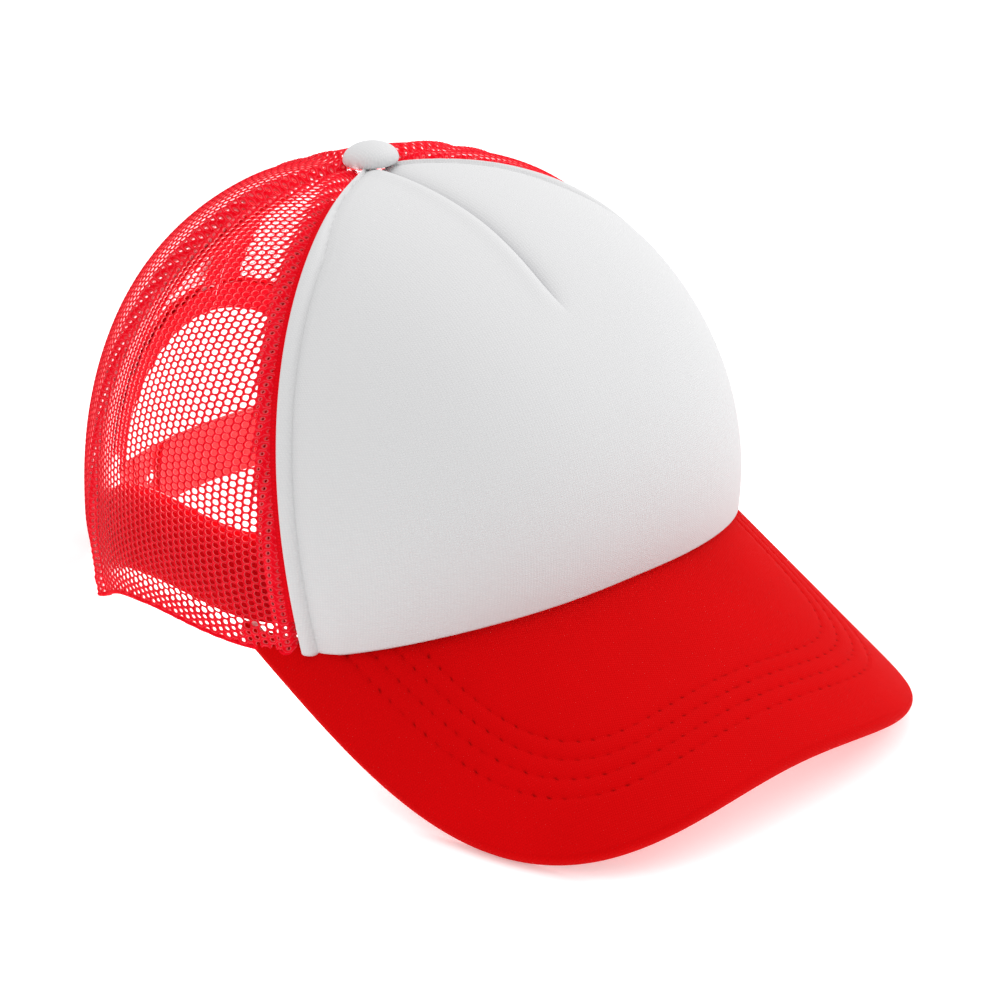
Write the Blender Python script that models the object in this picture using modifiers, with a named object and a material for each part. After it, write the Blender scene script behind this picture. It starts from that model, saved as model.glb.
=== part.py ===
"""Trucker mesh cap: foam front, four mesh panels, curved peak, covered button and snap closure.

Metres, +Z up. Everything is shaped in the cap's own frame, whose origin is the centre of the rim
plane with the peak pointing to -Y, and hangs from one empty that sets the cap down on its rear
rim and on the two front corners of its peak.
"""

import math

import bmesh
import bpy
from mathutils import Matrix, Vector

MM = 0.001

# Crown, measured on its outer face
HALF_WIDTH = 88 * MM
FRONT_REACH = 102 * MM
REAR_REACH = 92 * MM
CROWN_HEIGHT = 111 * MM
PLAN_POWER_FRONT = 2.25
PLAN_POWER_REAR = 1.75
PROFILE_POWER_FRONT = 2.12
PROFILE_POWER_SIDE = 2.52
PROFILE_POWER_REAR = 2.13
FOREHEAD_TUCK = 0.074
ROW_POWER = 0.83
TOP_HOLE_ANGLE = math.radians(88)

# Seams, as angles from the front centre: at the rim, and the turn they make on the way up
FRONT_SEAM = math.radians(56)
FRONT_SEAM_TURN = (math.radians(6.5), math.radians(-3.5))
SIDE_SEAM = math.radians(112)
SIDE_SEAM_TURN = math.radians(-14)

# Cloth layers
LAYER_GAP = 0.55 * MM
SEAM_GAP = 0.5 * MM
FACE_THICKNESS = 0.7 * MM
FOAM_THICKNESS = 2.5 * MM
FOAM_SETBACK = 5.5 * MM
FOAM_BOTTOM = 3.5 * MM
MESH_THICKNESS = 0.9 * MM
TAPE_THICKNESS = 0.6 * MM
TAPE_HALF_WIDTH = 6.5 * MM
TAPE_RIM_SETBACK = 9 * MM
TAPE_TOP_RISE = 0.985
TAPE_NARROWS_FROM = 0.9
TAPE_NARROWING = 0.35

# Sweatband, folded round a strip of interlining
BAND_BOTTOM = 7 * MM
BAND_HEIGHT = 24 * MM
BAND_CLOTH = 0.6 * MM
BAND_END = math.radians(138)
BAND_CLEARANCE = 0.9 * MM
BAND_STEPS_BACK_OVER = math.radians(14)
INTERLINING_THICKNESS = 1.0 * MM
INTERLINING_END = math.radians(52)
LABEL_ANGLE = math.radians(100)
LABEL_WIDTH = 26 * MM
LABEL_THICKNESS = 0.4 * MM

# Peak
PEAK_HALF_WIDTH = 81 * MM
PEAK_LENGTH = 118 * MM
PEAK_ROOT_Y = -33 * MM
PEAK_SIDE_POWER = 3.5
PEAK_FRONT_POWER = 3.45
PEAK_SLOPE = math.tan(math.radians(29.5))
PEAK_CROWN_CLEARANCE = 1.5 * MM
PEAK_TOP_AT_FRONT = 8.9 * MM
PEAK_ARCH = 3.2
PEAK_EDGE_DROP = 400
PEAK_END = math.radians(67.8)
RIM_FLAT_FROM = math.radians(118)
PEAK_TUCK = 4 * MM
PEAK_CLOTH = 0.6 * MM
BOARD_THICKNESS = 1.6 * MM
BOARD_SETBACK = 3 * MM

# Rear opening and its binding
OPENING_HALF_WIDTH = 44 * MM
OPENING_HEIGHT = 56 * MM
BINDING_WIDTH = 8 * MM
BINDING_CLOTH = 0.55 * MM

# Snap closure
STRAP_RADIUS = 110 * MM
STRAP_LEAN = math.radians(5.5)
STRAP_HINGE_X = 38 * MM
STRAP_HEIGHT = 18 * MM
STRAP_BOTTOM = 3 * MM
STRAP_THICKNESS = 1.2 * MM
STRAP_TIP_REACH = 28.5 * MM
STRAP_CORNER = 6 * MM
TIP_CROWDING = 1.6
STRAP_GAP = 0.4 * MM
SNAP_PITCH = 9 * MM
SNAP_COUNT = 7
FIRST_SNAP = 31.5 * MM
HOLE_RADIUS = 2.45 * MM
STUD_BASE_RADIUS = 1.9 * MM
STUD_TIP_RADIUS = 1.4 * MM
STUD_HEIGHT = 2.4 * MM
TAB_LENGTH = 12 * MM
ROOT_CLEARANCE = 0.8 * MM
TAB_GAP = 2.4 * MM

# Button on top
BUTTON_RADIUS = 7.8 * MM
BUTTON_HEIGHT = 5 * MM
BUTTON_CLOTH = 0.5 * MM
BUTTON_METAL = 0.6 * MM
SHANK_RADIUS = 1.4 * MM
WASHER_RADIUS = 6.5 * MM
WASHER_THICKNESS = 0.8 * MM
SHANK_CLEARANCE = 0.3 * MM
SHANK_PAST_WASHER = 1.0 * MM
SHELL_CLEARANCE = 0.3 * MM
TURNED_UNDER = 2.5 * MM
DOME_STEPS = 7

FOAM_DEPTH = FACE_THICKNESS + LAYER_GAP
FRONT_DEPTH = FOAM_DEPTH + FOAM_THICKNESS
TAPE_DEPTH = MESH_THICKNESS + LAYER_GAP
BAND_DEPTH = TAPE_DEPTH + TAPE_THICKNESS + LAYER_GAP
PEAK_THICKNESS = 2 * PEAK_CLOTH + 2 * LAYER_GAP + BOARD_THICKNESS


# Shape of the crown and the peak

def power_mix(front, side, rear, angle):
    """A value that changes smoothly from the front through the sides to the rear."""
    c = math.cos(angle)
    return front * max(c, 0) ** 2 + rear * max(-c, 0) ** 2 + side * math.sin(angle) ** 2


def smooth(t):
    t = min(max(t, 0), 1)
    return t * t * (3 - 2 * t)


def reach(angle):
    """Distance from the button's axis to the rim, in plan."""
    ahead = math.cos(angle) > 0
    power = PLAN_POWER_FRONT if ahead else PLAN_POWER_REAR
    length = FRONT_REACH if ahead else REAR_REACH
    total = abs(math.sin(angle) / HALF_WIDTH) ** power + abs(math.cos(angle) / length) ** power
    return total ** (-1 / power)


def peak_height(x, y):
    """The peak's top face: it slopes forward and arches over its width."""
    forward = -FRONT_REACH - y
    return PEAK_TOP_AT_FRONT - PEAK_SLOPE * forward - PEAK_ARCH * x ** 2 - PEAK_EDGE_DROP * x ** 4


def rim_height(angle, x, y):
    """The rim follows the peak in front and lies flat behind its ends."""
    onto_peak = smooth((RIM_FLAT_FROM - abs(angle)) / (RIM_FLAT_FROM - PEAK_END))
    return onto_peak * (peak_height(x, y) + PEAK_CROWN_CLEARANCE)


def crown_face(angle, rise):
    """A point of the crown's outer face; rise runs from 0 at the rim to 1 at the button."""
    angle = math.remainder(angle, 2 * math.pi)
    tuck = FOREHEAD_TUCK * max(math.cos(angle), 0) ** 2
    power = power_mix(PROFILE_POWER_FRONT, PROFILE_POWER_SIDE, PROFILE_POWER_REAR, angle)
    inward = max(1 - rise ** power, 0) ** (1 / power) * (1 - tuck * (1 - rise) ** 4)
    radius = reach(angle)
    x, y = math.sin(angle), -math.cos(angle)
    rim = radius * (1 - tuck)
    bottom = rim_height(angle, rim * x, rim * y)
    return Vector((radius * inward * x, radius * inward * y, bottom + (CROWN_HEIGHT - bottom) * rise))


def crown_point(angle, rise, depth=0.0):
    """The same point, moved inwards by depth along the face's normal."""
    step = 0.002
    low, high = max(rise - step, 0), min(rise + step, 0.9999)
    along = crown_face(angle + step, rise) - crown_face(angle - step, rise)
    up = crown_face(angle, high) - crown_face(angle, low)
    return crown_face(angle, rise) - depth * along.cross(up).normalized()


def rise_of(height, angle):
    """The rise whose point lies this high over the rim."""
    bottom = crown_face(angle, 0).z
    return height / (CROWN_HEIGHT - bottom)


def row_rise(t, start=0.0):
    """Rows that are evenly spaced along the crown's profile, up to the hole under the button."""
    first = math.asin(start ** (1 / ROW_POWER))
    return math.sin(first + (TOP_HOLE_ANGLE - first) * t) ** ROW_POWER


def front_seam(rise):
    return FRONT_SEAM + FRONT_SEAM_TURN[0] * rise + FRONT_SEAM_TURN[1] * rise ** 3


def side_seam(rise):
    return SIDE_SEAM + SIDE_SEAM_TURN * rise ** 3


def rear_seam(_rise):
    return math.pi


def beside(angle, rise, distance):
    """The angle that lies this distance round the crown from a seam."""
    around = crown_face(angle, rise)
    return angle + distance / math.hypot(around.x, around.y)


def peak_outline(turn, setback=0.0):
    """The peak's outer edge in plan; turn runs from -90 to 90 degrees."""
    s, c = math.sin(turn), max(math.cos(turn), 0)
    x = (PEAK_HALF_WIDTH - setback) * math.copysign(abs(s) ** (2 / PEAK_SIDE_POWER), s)
    y = PEAK_ROOT_Y - (PEAK_LENGTH - setback) * c ** (2 / PEAK_FRONT_POWER)
    return x, y


def peak_point(across, out, depth, setback=0.0):
    """A point of the peak; across is -1 to 1, out is 0 inside the crown and 1 at the edge."""
    angle = across * PEAK_END
    rim = crown_point(angle, 0, PEAK_TUCK)
    edge_x, edge_y = peak_outline(across * math.pi / 2, setback)
    x = rim.x + (edge_x - rim.x) * out
    y = rim.y + (edge_y - rim.y) * out
    fall = 2 * PEAK_ARCH * x + 4 * PEAK_EDGE_DROP * x ** 3
    normal = Vector((fall, -PEAK_SLOPE, 1)).normalized()
    return Vector((x, y, peak_height(x, y))) - depth * normal


# Building blocks

def material(name, colour, roughness, metallic=0.0):
    made = bpy.data.materials.new(name)
    made.use_nodes = True
    shader = made.node_tree.nodes["Principled BSDF"]
    shader.inputs["Base Color"].default_value = (*colour, 1)
    shader.inputs["Roughness"].default_value = roughness
    shader.inputs["Metallic"].default_value = metallic
    return made


def add_object(name, mesh, surface, parent):
    obj = bpy.data.objects.new(name, mesh)
    mesh.materials.append(surface)
    obj.parent = parent
    PARTS.objects.link(obj)
    return obj


def grid_mesh(name, columns, rows, point):
    """An open sheet: point(i, j) gives each corner for i, j from 0 to 1."""
    bm = bmesh.new()
    verts = [[bm.verts.new(point(i / columns, j / rows)) for j in range(rows + 1)]
             for i in range(columns + 1)]
    for i in range(columns):
        for j in range(rows):
            bm.faces.new((verts[i][j], verts[i + 1][j], verts[i + 1][j + 1], verts[i][j + 1]))
    mesh = bpy.data.meshes.new(name)
    bm.to_mesh(mesh)
    bm.free()
    mesh.shade_smooth()
    return mesh


def cloth(name, columns, rows, point, thickness, surface):
    """A sheet thickened towards the inside."""
    obj = add_object(name, grid_mesh(name, columns, rows, point), surface, CAP)
    solid = obj.modifiers.new("thickness", "SOLIDIFY")
    solid.thickness = thickness
    solid.offset = -1
    solid.use_even_offset = True
    return obj


def swept(name, stations, section, surface, parent):
    """A closed section carried along stations; section(t) lists its corners in order."""
    bm = bmesh.new()
    rings = [[bm.verts.new(p) for p in section(i / stations)] for i in range(stations + 1)]
    corners = len(rings[0])
    for ring, following in zip(rings, rings[1:]):
        for k in range(corners):
            nxt = (k + 1) % corners
            bm.faces.new((ring[k], ring[nxt], following[nxt], following[k]))
    bm.faces.new(rings[0][::-1])
    bm.faces.new(rings[-1])
    bmesh.ops.triangulate(bm, faces=[f for f in bm.faces if len(f.verts) > 4])
    bmesh.ops.recalc_face_normals(bm, faces=bm.faces)
    mesh = bpy.data.meshes.new(name)
    bm.to_mesh(mesh)
    bm.free()
    return add_object(name, mesh, surface, parent)


def turned(name, profile, surface, parent, steps=24):
    """A profile in the XZ plane, turned once about Z."""
    bm = bmesh.new()
    verts = [bm.verts.new((r, 0, z)) for r, z in profile]
    for a, b in zip(verts, verts[1:]):
        bm.edges.new((a, b))
    mesh = bpy.data.meshes.new(name)
    bm.to_mesh(mesh)
    bm.free()
    obj = add_object(name, mesh, surface, parent)
    screw = obj.modifiers.new("turn", "SCREW")
    screw.axis = "Z"
    screw.steps = screw.render_steps = steps
    screw.use_merge_vertices = True
    screw.merge_threshold = 1e-5
    return obj


def cutter(name, mesh, parent):
    obj = bpy.data.objects.new(name, mesh)
    obj.parent = parent
    obj.hide_render = True
    obj.display_type = "WIRE"
    CUTTERS.objects.link(obj)
    return obj


def cut(obj, tool, operation="DIFFERENCE"):
    boolean = obj.modifiers.new(tool.name, "BOOLEAN")
    boolean.operation = operation
    boolean.object = tool


def cone_mesh(name, base_radius, tip_radius, height, placements, segments=12):
    """One mesh of cones, each standing on the origin of its placement along that frame's Z."""
    bm = bmesh.new()
    for placement in placements:
        bmesh.ops.create_cone(
            bm, cap_ends=True, segments=segments, radius1=base_radius, radius2=tip_radius,
            depth=height, matrix=placement @ Matrix.Translation((0, 0, height / 2)))
    mesh = bpy.data.meshes.new(name)
    bm.to_mesh(mesh)
    bm.free()
    return mesh


# Crown

def panel(name, right_edge, left_edge, columns, rows, depth, thickness, surface,
          setback=SEAM_GAP / 2, bottom=0.0):
    """One crown panel between two seams, from the rim to the hole under the button."""
    def point(i, j):
        rise = row_rise(j, rise_of(bottom, 0))
        right = beside(right_edge(rise), rise, setback)
        left = beside(left_edge(rise), rise, -setback)
        return crown_point(right + (left - right) * i, rise, depth)
    return cloth(name, columns, rows, point, thickness, surface)


def mirrored(seam):
    return lambda rise: -seam(rise)


def front_panels():
    panel("front_panel_face", mirrored(front_seam), front_seam, 16, 14, 0, FACE_THICKNESS, WHITE_KNIT)
    panel("front_panel_foam", mirrored(front_seam), front_seam, 16, 14, FOAM_DEPTH, FOAM_THICKNESS,
          FOAM, FOAM_SETBACK, FOAM_BOTTOM)


def mesh_panels():
    arch = cutter("opening_cutter", opening_cutter_mesh(), CAP)
    for side, right, left in (("left", front_seam, side_seam),
                              ("right", mirrored(side_seam), mirrored(front_seam))):
        panel(f"side_mesh_{side}", right, left, 10, 14, 0, MESH_THICKNESS, RED_MESH)
    rear_right = (lambda rise: -math.pi, mirrored(side_seam))
    for side, right, left in (("left", side_seam, rear_seam), ("right", *rear_right)):
        rear = panel(f"rear_mesh_{side}", right, left, 9, 14, 0, MESH_THICKNESS, RED_MESH)
        cut(rear, arch)


def opening_cutter_mesh():
    """A half-moon prism through the rear of the crown; its lower half lies under the rim."""
    lay_along_y = Matrix.Rotation(math.radians(-90), 4, "X")
    stretch = Matrix.Diagonal((OPENING_HALF_WIDTH, 1, OPENING_HEIGHT, 1))
    start = Matrix.Translation((0, REAR_REACH / 2, 0))
    mesh = cone_mesh("opening_cutter", 1, 1, REAR_REACH, [start @ stretch @ lay_along_y], segments=56)
    return mesh


def seam_tapes():
    """Strips that cover the seams inside. Beside the foam they stop short of its edge."""
    past_foam = FOAM_SETBACK - LAYER_GAP
    for side, sign in (("left", 1), ("right", -1)):
        reaches = (-past_foam, TAPE_HALF_WIDTH)
        tape(f"front_seam_tape_{side}", front_seam, sign, reaches, TAPE_RIM_SETBACK)
        reaches = (-TAPE_HALF_WIDTH, TAPE_HALF_WIDTH)
        tape(f"side_seam_tape_{side}", side_seam, sign, reaches, TAPE_RIM_SETBACK)
    above_arch = OPENING_HEIGHT + BINDING_WIDTH + 2 * MM
    tape("rear_seam_tape", rear_seam, 1, (-TAPE_HALF_WIDTH, TAPE_HALF_WIDTH), above_arch)


def tape(name, seam, sign, reaches, bottom):
    """One tape; its edges keep their distance from the seam but close in under the button."""
    start = rise_of(bottom, seam(0))
    rows = 14

    def point(i, j):
        rise = start + (TAPE_TOP_RISE - start) * math.sin(j * math.pi / 2)
        narrow = 1 - TAPE_NARROWING * smooth((rise - TAPE_NARROWS_FROM) / (TAPE_TOP_RISE - TAPE_NARROWS_FROM))
        across = reaches[0] + (reaches[1] - reaches[0]) * i
        angle = beside(seam(rise), rise, across * narrow)
        return crown_point(angle, rise, TAPE_DEPTH)

    def mirrored_point(i, j):
        there = point(1 - i, j)
        return Vector((-there.x, there.y, there.z))

    cloth(name, 2, rows, point if sign > 0 else mirrored_point, TAPE_THICKNESS, RED_TAPE)


# Sweatband

def band_depth(angle):
    """Depth of the band's outer cloth: inside the foam in front, close to the mesh elsewhere."""
    behind_seam = smooth((abs(angle) - FRONT_SEAM) / BAND_STEPS_BACK_OVER)
    in_front = FRONT_DEPTH + BAND_CLEARANCE
    return in_front + (BAND_DEPTH - in_front) * behind_seam


def band_point(angle, height, inward):
    return crown_point(angle, rise_of(height, angle), band_depth(angle) + inward)


def sweatband():
    """One strip folded at its top edge, open at the bottom where it is sewn to the rim."""
    core = INTERLINING_THICKNESS + 2 * LAYER_GAP
    inner = BAND_CLOTH + core
    top = BAND_BOTTOM + BAND_HEIGHT
    corners = ((BAND_BOTTOM, 0), (top, 0), (top, inner + BAND_CLOTH), (BAND_BOTTOM, inner + BAND_CLOTH),
               (BAND_BOTTOM, inner), (top - BAND_CLOTH, inner), (top - BAND_CLOTH, BAND_CLOTH),
               (BAND_BOTTOM, BAND_CLOTH))

    def section(t):
        angle = (2 * t - 1) * BAND_END
        return [band_point(angle, height, inward) for height, inward in corners]
    swept("sweatband", 48, section, RED_BAND, CAP)

    def core_section(t):
        angle = (2 * t - 1) * INTERLINING_END
        low, high = BAND_BOTTOM + 1 * MM, top - BAND_CLOTH - LAYER_GAP
        near = BAND_CLOTH + LAYER_GAP
        far = near + INTERLINING_THICKNESS
        return [band_point(angle, h, d) for h, d in ((low, near), (high, near), (high, far), (low, far))]
    swept("sweatband_interlining", 20, core_section, FOAM, CAP)


def care_label():
    """A blank folded label that hangs from the sweatband's top edge."""
    inner = 2 * BAND_CLOTH + INTERLINING_THICKNESS + 3 * LAYER_GAP
    half = LABEL_WIDTH / 2 / reach(LABEL_ANGLE)

    def on_band(angle, height, inward):
        """A point on the band's straight wall between its bottom and its top."""
        bottom = band_point(angle, BAND_BOTTOM, inward)
        top = band_point(angle, BAND_BOTTOM + BAND_HEIGHT, inward)
        return bottom.lerp(top, (height - BAND_BOTTOM) / BAND_HEIGHT)

    def section(t):
        angle = LABEL_ANGLE + (2 * t - 1) * half
        low, high = BAND_BOTTOM + 4 * MM, BAND_BOTTOM + BAND_HEIGHT - 1 * MM
        far = inner + LABEL_THICKNESS
        return [on_band(angle, h, d) for h, d in ((low, inner), (high, inner), (high, far), (low, far))]
    swept("care_label", 6, section, WHITE_LABEL, CAP)


# Peak

def peak():
    """Cloth over and under a plastic board; the top cloth turns down round the outer edge."""
    def top_section(t):
        across = 2 * t - 1
        lip_depth = PEAK_THICKNESS - PEAK_CLOTH - LAYER_GAP
        inner_setback = PEAK_CLOTH
        outs = [k / 9 for k in range(9)]
        top = [peak_point(across, out, 0) for out in outs]
        edge = [peak_point(across, 1, 0), peak_point(across, 1, lip_depth),
                peak_point(across, 1, lip_depth, inner_setback),
                peak_point(across, 1, PEAK_CLOTH, inner_setback)]
        under = [peak_point(across, out, PEAK_CLOTH) for out in reversed(outs)]
        return top + edge + under
    swept("peak_top_cover", 30, top_section, RED_TWILL, CAP)

    def plate_section(depth, thickness, setback, rows):
        def section(t):
            across = 2 * t - 1
            outs = [k / rows for k in range(rows + 1)]
            top = [peak_point(across, out, depth, setback) for out in outs]
            under = [peak_point(across, out, depth + thickness, setback) for out in reversed(outs)]
            return top + under
        return section
    board_depth = PEAK_CLOTH + LAYER_GAP
    under_depth = board_depth + BOARD_THICKNESS + LAYER_GAP
    swept("peak_board", 30, plate_section(board_depth, BOARD_THICKNESS, BOARD_SETBACK, 9), BOARD, CAP)
    swept("peak_under_cover", 30, plate_section(under_depth, PEAK_CLOTH, 0, 9), RED_TWILL, CAP)


# Rear opening and snap closure

def opening_point(turn, out, depth):
    """A point round the opening: turn is 0 to 180 degrees over the arch, out is away from its edge."""
    x = (OPENING_HALF_WIDTH + out) * math.cos(turn)
    z = (OPENING_HEIGHT + out) * math.sin(turn)
    rise = z / CROWN_HEIGHT
    low, high = 0, math.radians(80)
    for _ in range(40):
        aside = (low + high) / 2
        if crown_face(math.pi - aside, rise).x < abs(x):
            low = aside
        else:
            high = aside
    angle = math.pi - math.copysign(aside, x)
    return crown_point(angle, rise, depth)


def opening_binding():
    """Tape folded over the opening's cut edge."""
    cloth_out = LAYER_GAP + BINDING_CLOTH
    inside = MESH_THICKNESS + LAYER_GAP
    corners = ((BINDING_WIDTH, -cloth_out), (-cloth_out, -cloth_out), (-cloth_out, inside + BINDING_CLOTH),
               (BINDING_WIDTH, inside + BINDING_CLOTH), (BINDING_WIDTH, inside), (-LAYER_GAP, inside),
               (-LAYER_GAP, -LAYER_GAP), (BINDING_WIDTH, -LAYER_GAP))

    def section(t):
        return [opening_point(t * math.pi, out, depth) for out, depth in corners]
    swept("opening_binding", 28, section, RED_TAPE, CAP)


def strap_hinge(radius, sign):
    """Where a strap leaves its sewn tab, in the closure's frame."""
    return Vector((sign * STRAP_HINGE_X, ARC_CENTRE_Y + math.sqrt(radius ** 2 - STRAP_HINGE_X ** 2), 0))


def strap_frame(radius, reach_along, height):
    """A frame on the strap's outer face, its Z axis pointing away from the head."""
    turn = reach_along / radius
    place = Vector((radius * math.sin(turn), ARC_CENTRE_Y + radius * math.cos(turn), height))
    away = Matrix.Rotation(-turn, 4, "Z") @ Matrix.Rotation(math.radians(-90), 4, "X")
    return Matrix.Translation(place) @ away


def strap(name, radius, sign):
    """A strap from its hinge (at sign * x) to its rounded tip on the other side."""
    hinge = strap_hinge(radius, sign)
    start = sign * radius * math.asin(STRAP_HINGE_X / radius)
    end = -sign * STRAP_TIP_REACH
    pivot = bpy.data.objects.new(f"{name}_hinge", None)
    pivot.location = hinge
    pivot.parent = CLOSURE
    PARTS.objects.link(pivot)

    def section(t):
        # stations crowd together over the rounded tip
        along = start + (end - start) * (1 - (1 - t) ** TIP_CROWDING)
        from_tip = abs(end - along)
        lost = 0.0
        if from_tip < STRAP_CORNER:
            lost = STRAP_CORNER - math.sqrt(STRAP_CORNER ** 2 - (STRAP_CORNER - from_tip) ** 2)
        low, high = STRAP_BOTTOM + lost, STRAP_BOTTOM + STRAP_HEIGHT - lost
        turn = along / radius
        corners = []
        for r, z in ((radius, low), (radius, high), (radius - STRAP_THICKNESS, high),
                     (radius - STRAP_THICKNESS, low)):
            corners.append(Vector((r * math.sin(turn), ARC_CENTRE_Y + r * math.cos(turn), z)) - hinge)
        return corners
    obj = swept(name, 22, section, RED_PLASTIC, pivot)
    return obj, hinge


def snap_closure():
    middle = STRAP_BOTTOM + STRAP_HEIGHT / 2
    outer_radius = STRAP_RADIUS
    inner_radius = STRAP_RADIUS - STRAP_THICKNESS - STRAP_GAP
    holed, hinge = strap("hole_strap", outer_radius, -1)
    spots = [strap_frame(outer_radius, -FIRST_SNAP + k * SNAP_PITCH, middle) for k in range(SNAP_COUNT)]
    inwards = Matrix.Translation((0, 0, -2 * STRAP_THICKNESS))
    moved = [Matrix.Translation(-hinge) @ spot @ inwards for spot in spots]
    holes = cone_mesh("snap_holes", HOLE_RADIUS, HOLE_RADIUS, 4 * STRAP_THICKNESS, moved)
    cut(holed, cutter("snap_holes", holes, holed.parent))

    studded, hinge = strap("stud_strap", inner_radius, 1)
    spots = [strap_frame(inner_radius, FIRST_SNAP - k * SNAP_PITCH, middle) for k in range(SNAP_COUNT)]
    rooted = Matrix.Translation((0, 0, -STRAP_THICKNESS / 2))
    moved = [Matrix.Translation(-hinge) @ spot @ rooted for spot in spots]
    studs = cone_mesh("snap_studs", STUD_BASE_RADIUS, STUD_TIP_RADIUS, STUD_HEIGHT + STRAP_THICKNESS / 2,
                      moved)
    cut(studded, cutter("snap_studs", studs, studded.parent), "UNION")

    strap_tab("hole_strap_tab", outer_radius, -1)
    strap_tab("stud_strap_tab", inner_radius, 1)


def binding_face():
    """Points along the binding's fold, on its outer face."""
    proud = -LAYER_GAP - BINDING_CLOTH
    return [opening_point(math.radians(a), proud, proud) for a in range(0, 181, 5)]


def furthest_studs():
    """Points on the middle stud's tip, which stands furthest back."""
    lie = Matrix.Translation(CLOSURE.location) @ Matrix.Rotation(STRAP_LEAN, 4, "X")
    inner_radius = STRAP_RADIUS - STRAP_THICKNESS - STRAP_GAP
    middle = STRAP_BOTTOM + STRAP_HEIGHT / 2
    y = ARC_CENTRE_Y + inner_radius + STUD_HEIGHT
    return [lie @ Vector((0, y, middle + side * STUD_TIP_RADIUS)) for side in (-1, 1)]


def strap_tab(name, radius, sign):
    """The sewn end of a strap: it runs on from the hinge inside the crown."""
    hinge = strap_hinge(radius, sign) + CLOSURE.location
    base = math.atan2(STRAP_HINGE_X, hinge.y)
    wall = crown_point(math.pi - base, 0)
    depth = math.hypot(wall.x, wall.y) - math.hypot(hinge.x, hinge.y)

    def section(t):
        along = TAB_GAP + TAB_LENGTH * t
        corners = []
        for height in (STRAP_BOTTOM, STRAP_BOTTOM + STRAP_HEIGHT):
            angle = math.pi - base - along / reach(math.pi - base)
            rise = height / CROWN_HEIGHT
            outer = crown_point(angle, rise, depth)
            inner = crown_point(angle, rise, depth + STRAP_THICKNESS)
            corners.append((outer, inner))
        (low_out, low_in), (high_out, high_in) = corners
        return [Vector((sign * p.x, p.y, p.z)) for p in (low_out, high_out, high_in, low_in)]
    swept(name, 4, section, RED_PLASTIC, CAP)


# Button

def dome(radius, height, base):
    """Half an ellipse from the axis down to the rim."""
    angles = [math.pi / 2 * k / DOME_STEPS for k in range(DOME_STEPS + 1)]
    return [(radius * math.sin(a), base + height * math.cos(a)) for a in angles]


def button():
    """A cloth-covered metal cap whose shank passes through the crown's top to a washer inside."""
    base = CROWN_HEIGHT + LAYER_GAP
    lining = base + BUTTON_CLOTH
    outer = dome(BUTTON_RADIUS, BUTTON_HEIGHT, base)
    inner = dome(BUTTON_RADIUS - BUTTON_CLOTH, BUTTON_HEIGHT - 2 * BUTTON_CLOTH, lining)
    tuck = BUTTON_RADIUS - TURNED_UNDER
    turned("button_cover", outer + [(tuck, base), (tuck, lining)] + inner[::-1], WHITE_KNIT, CAP)

    skin = BUTTON_CLOTH + SHELL_CLEARANCE
    floor = base + skin
    shell_radius = BUTTON_RADIUS - skin
    shell_height = BUTTON_HEIGHT - skin - BUTTON_CLOTH
    outer = dome(shell_radius, shell_height, floor - SHELL_CLEARANCE)
    outer[-1] = (shell_radius, floor)
    inner = dome(shell_radius - BUTTON_METAL, shell_height - BUTTON_METAL - SHELL_CLEARANCE, floor)
    roof = inner[1][1]
    shank_end = CROWN_HEIGHT - washer_drop() - SHANK_PAST_WASHER
    shank = [(SHANK_RADIUS, roof), (SHANK_RADIUS, shank_end), (0, shank_end)]
    turned("button_shell", outer + inner[:1:-1] + shank, ALUMINIUM, CAP)

    top = CROWN_HEIGHT - washer_drop()
    bore = SHANK_RADIUS + SHANK_CLEARANCE
    profile = [(bore, top), (WASHER_RADIUS, top), (WASHER_RADIUS, top - WASHER_THICKNESS),
               (bore, top - WASHER_THICKNESS), (bore, top)]
    turned("button_washer", profile, ALUMINIUM, CAP)


def washer_drop():
    """How far under the crown's top the washer lies, below the cloth, foam and tapes."""
    return FRONT_DEPTH + 2 * LAYER_GAP


# Stance

def set_down():
    """Tips the cap until its rear rim and the peak's corners are level, and centres it on the origin."""
    rear = [crown_face(math.radians(a), 0) for a in range(90, 181, 3)]
    brim = [peak_point(1, 1, 0)] + [peak_point(k / 30, 1, PEAK_THICKNESS) for k in range(31)]

    def lowest(points, tilt):
        return min((Matrix.Rotation(tilt, 3, "X") @ p).z for p in points)
    low, high = math.radians(-20), 0.0
    for _ in range(40):
        tilt = (low + high) / 2
        if lowest(rear, tilt) > lowest(brim, tilt):
            high = tilt
        else:
            low = tilt
    turn = Matrix.Rotation(tilt, 3, "X")
    deep = [turn @ p for p in rear + brim]
    front = (turn @ peak_point(0, 1, 0)).y
    back = max((turn @ p).y for p in furthest_studs() + binding_face())
    CAP.rotation_euler = (tilt, 0, 0)
    CAP.location = (0, -(front + back) / 2, -min(p.z for p in deep))


def collection(name):
    made = bpy.data.collections.new(name)
    bpy.context.scene.collection.children.link(made)
    return made


def empty(name, parent=None):
    made = bpy.data.objects.new(name, None)
    made.parent = parent
    PARTS.objects.link(made)
    return made


for leftover in list(bpy.data.objects):
    bpy.data.objects.remove(leftover)

PARTS = collection("trucker_mesh_cap")
CUTTERS = collection("cutters")
CAP = empty("cap")
CLOSURE = empty("closure", CAP)
CLOSURE.rotation_euler = (STRAP_LEAN, 0, 0)

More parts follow.
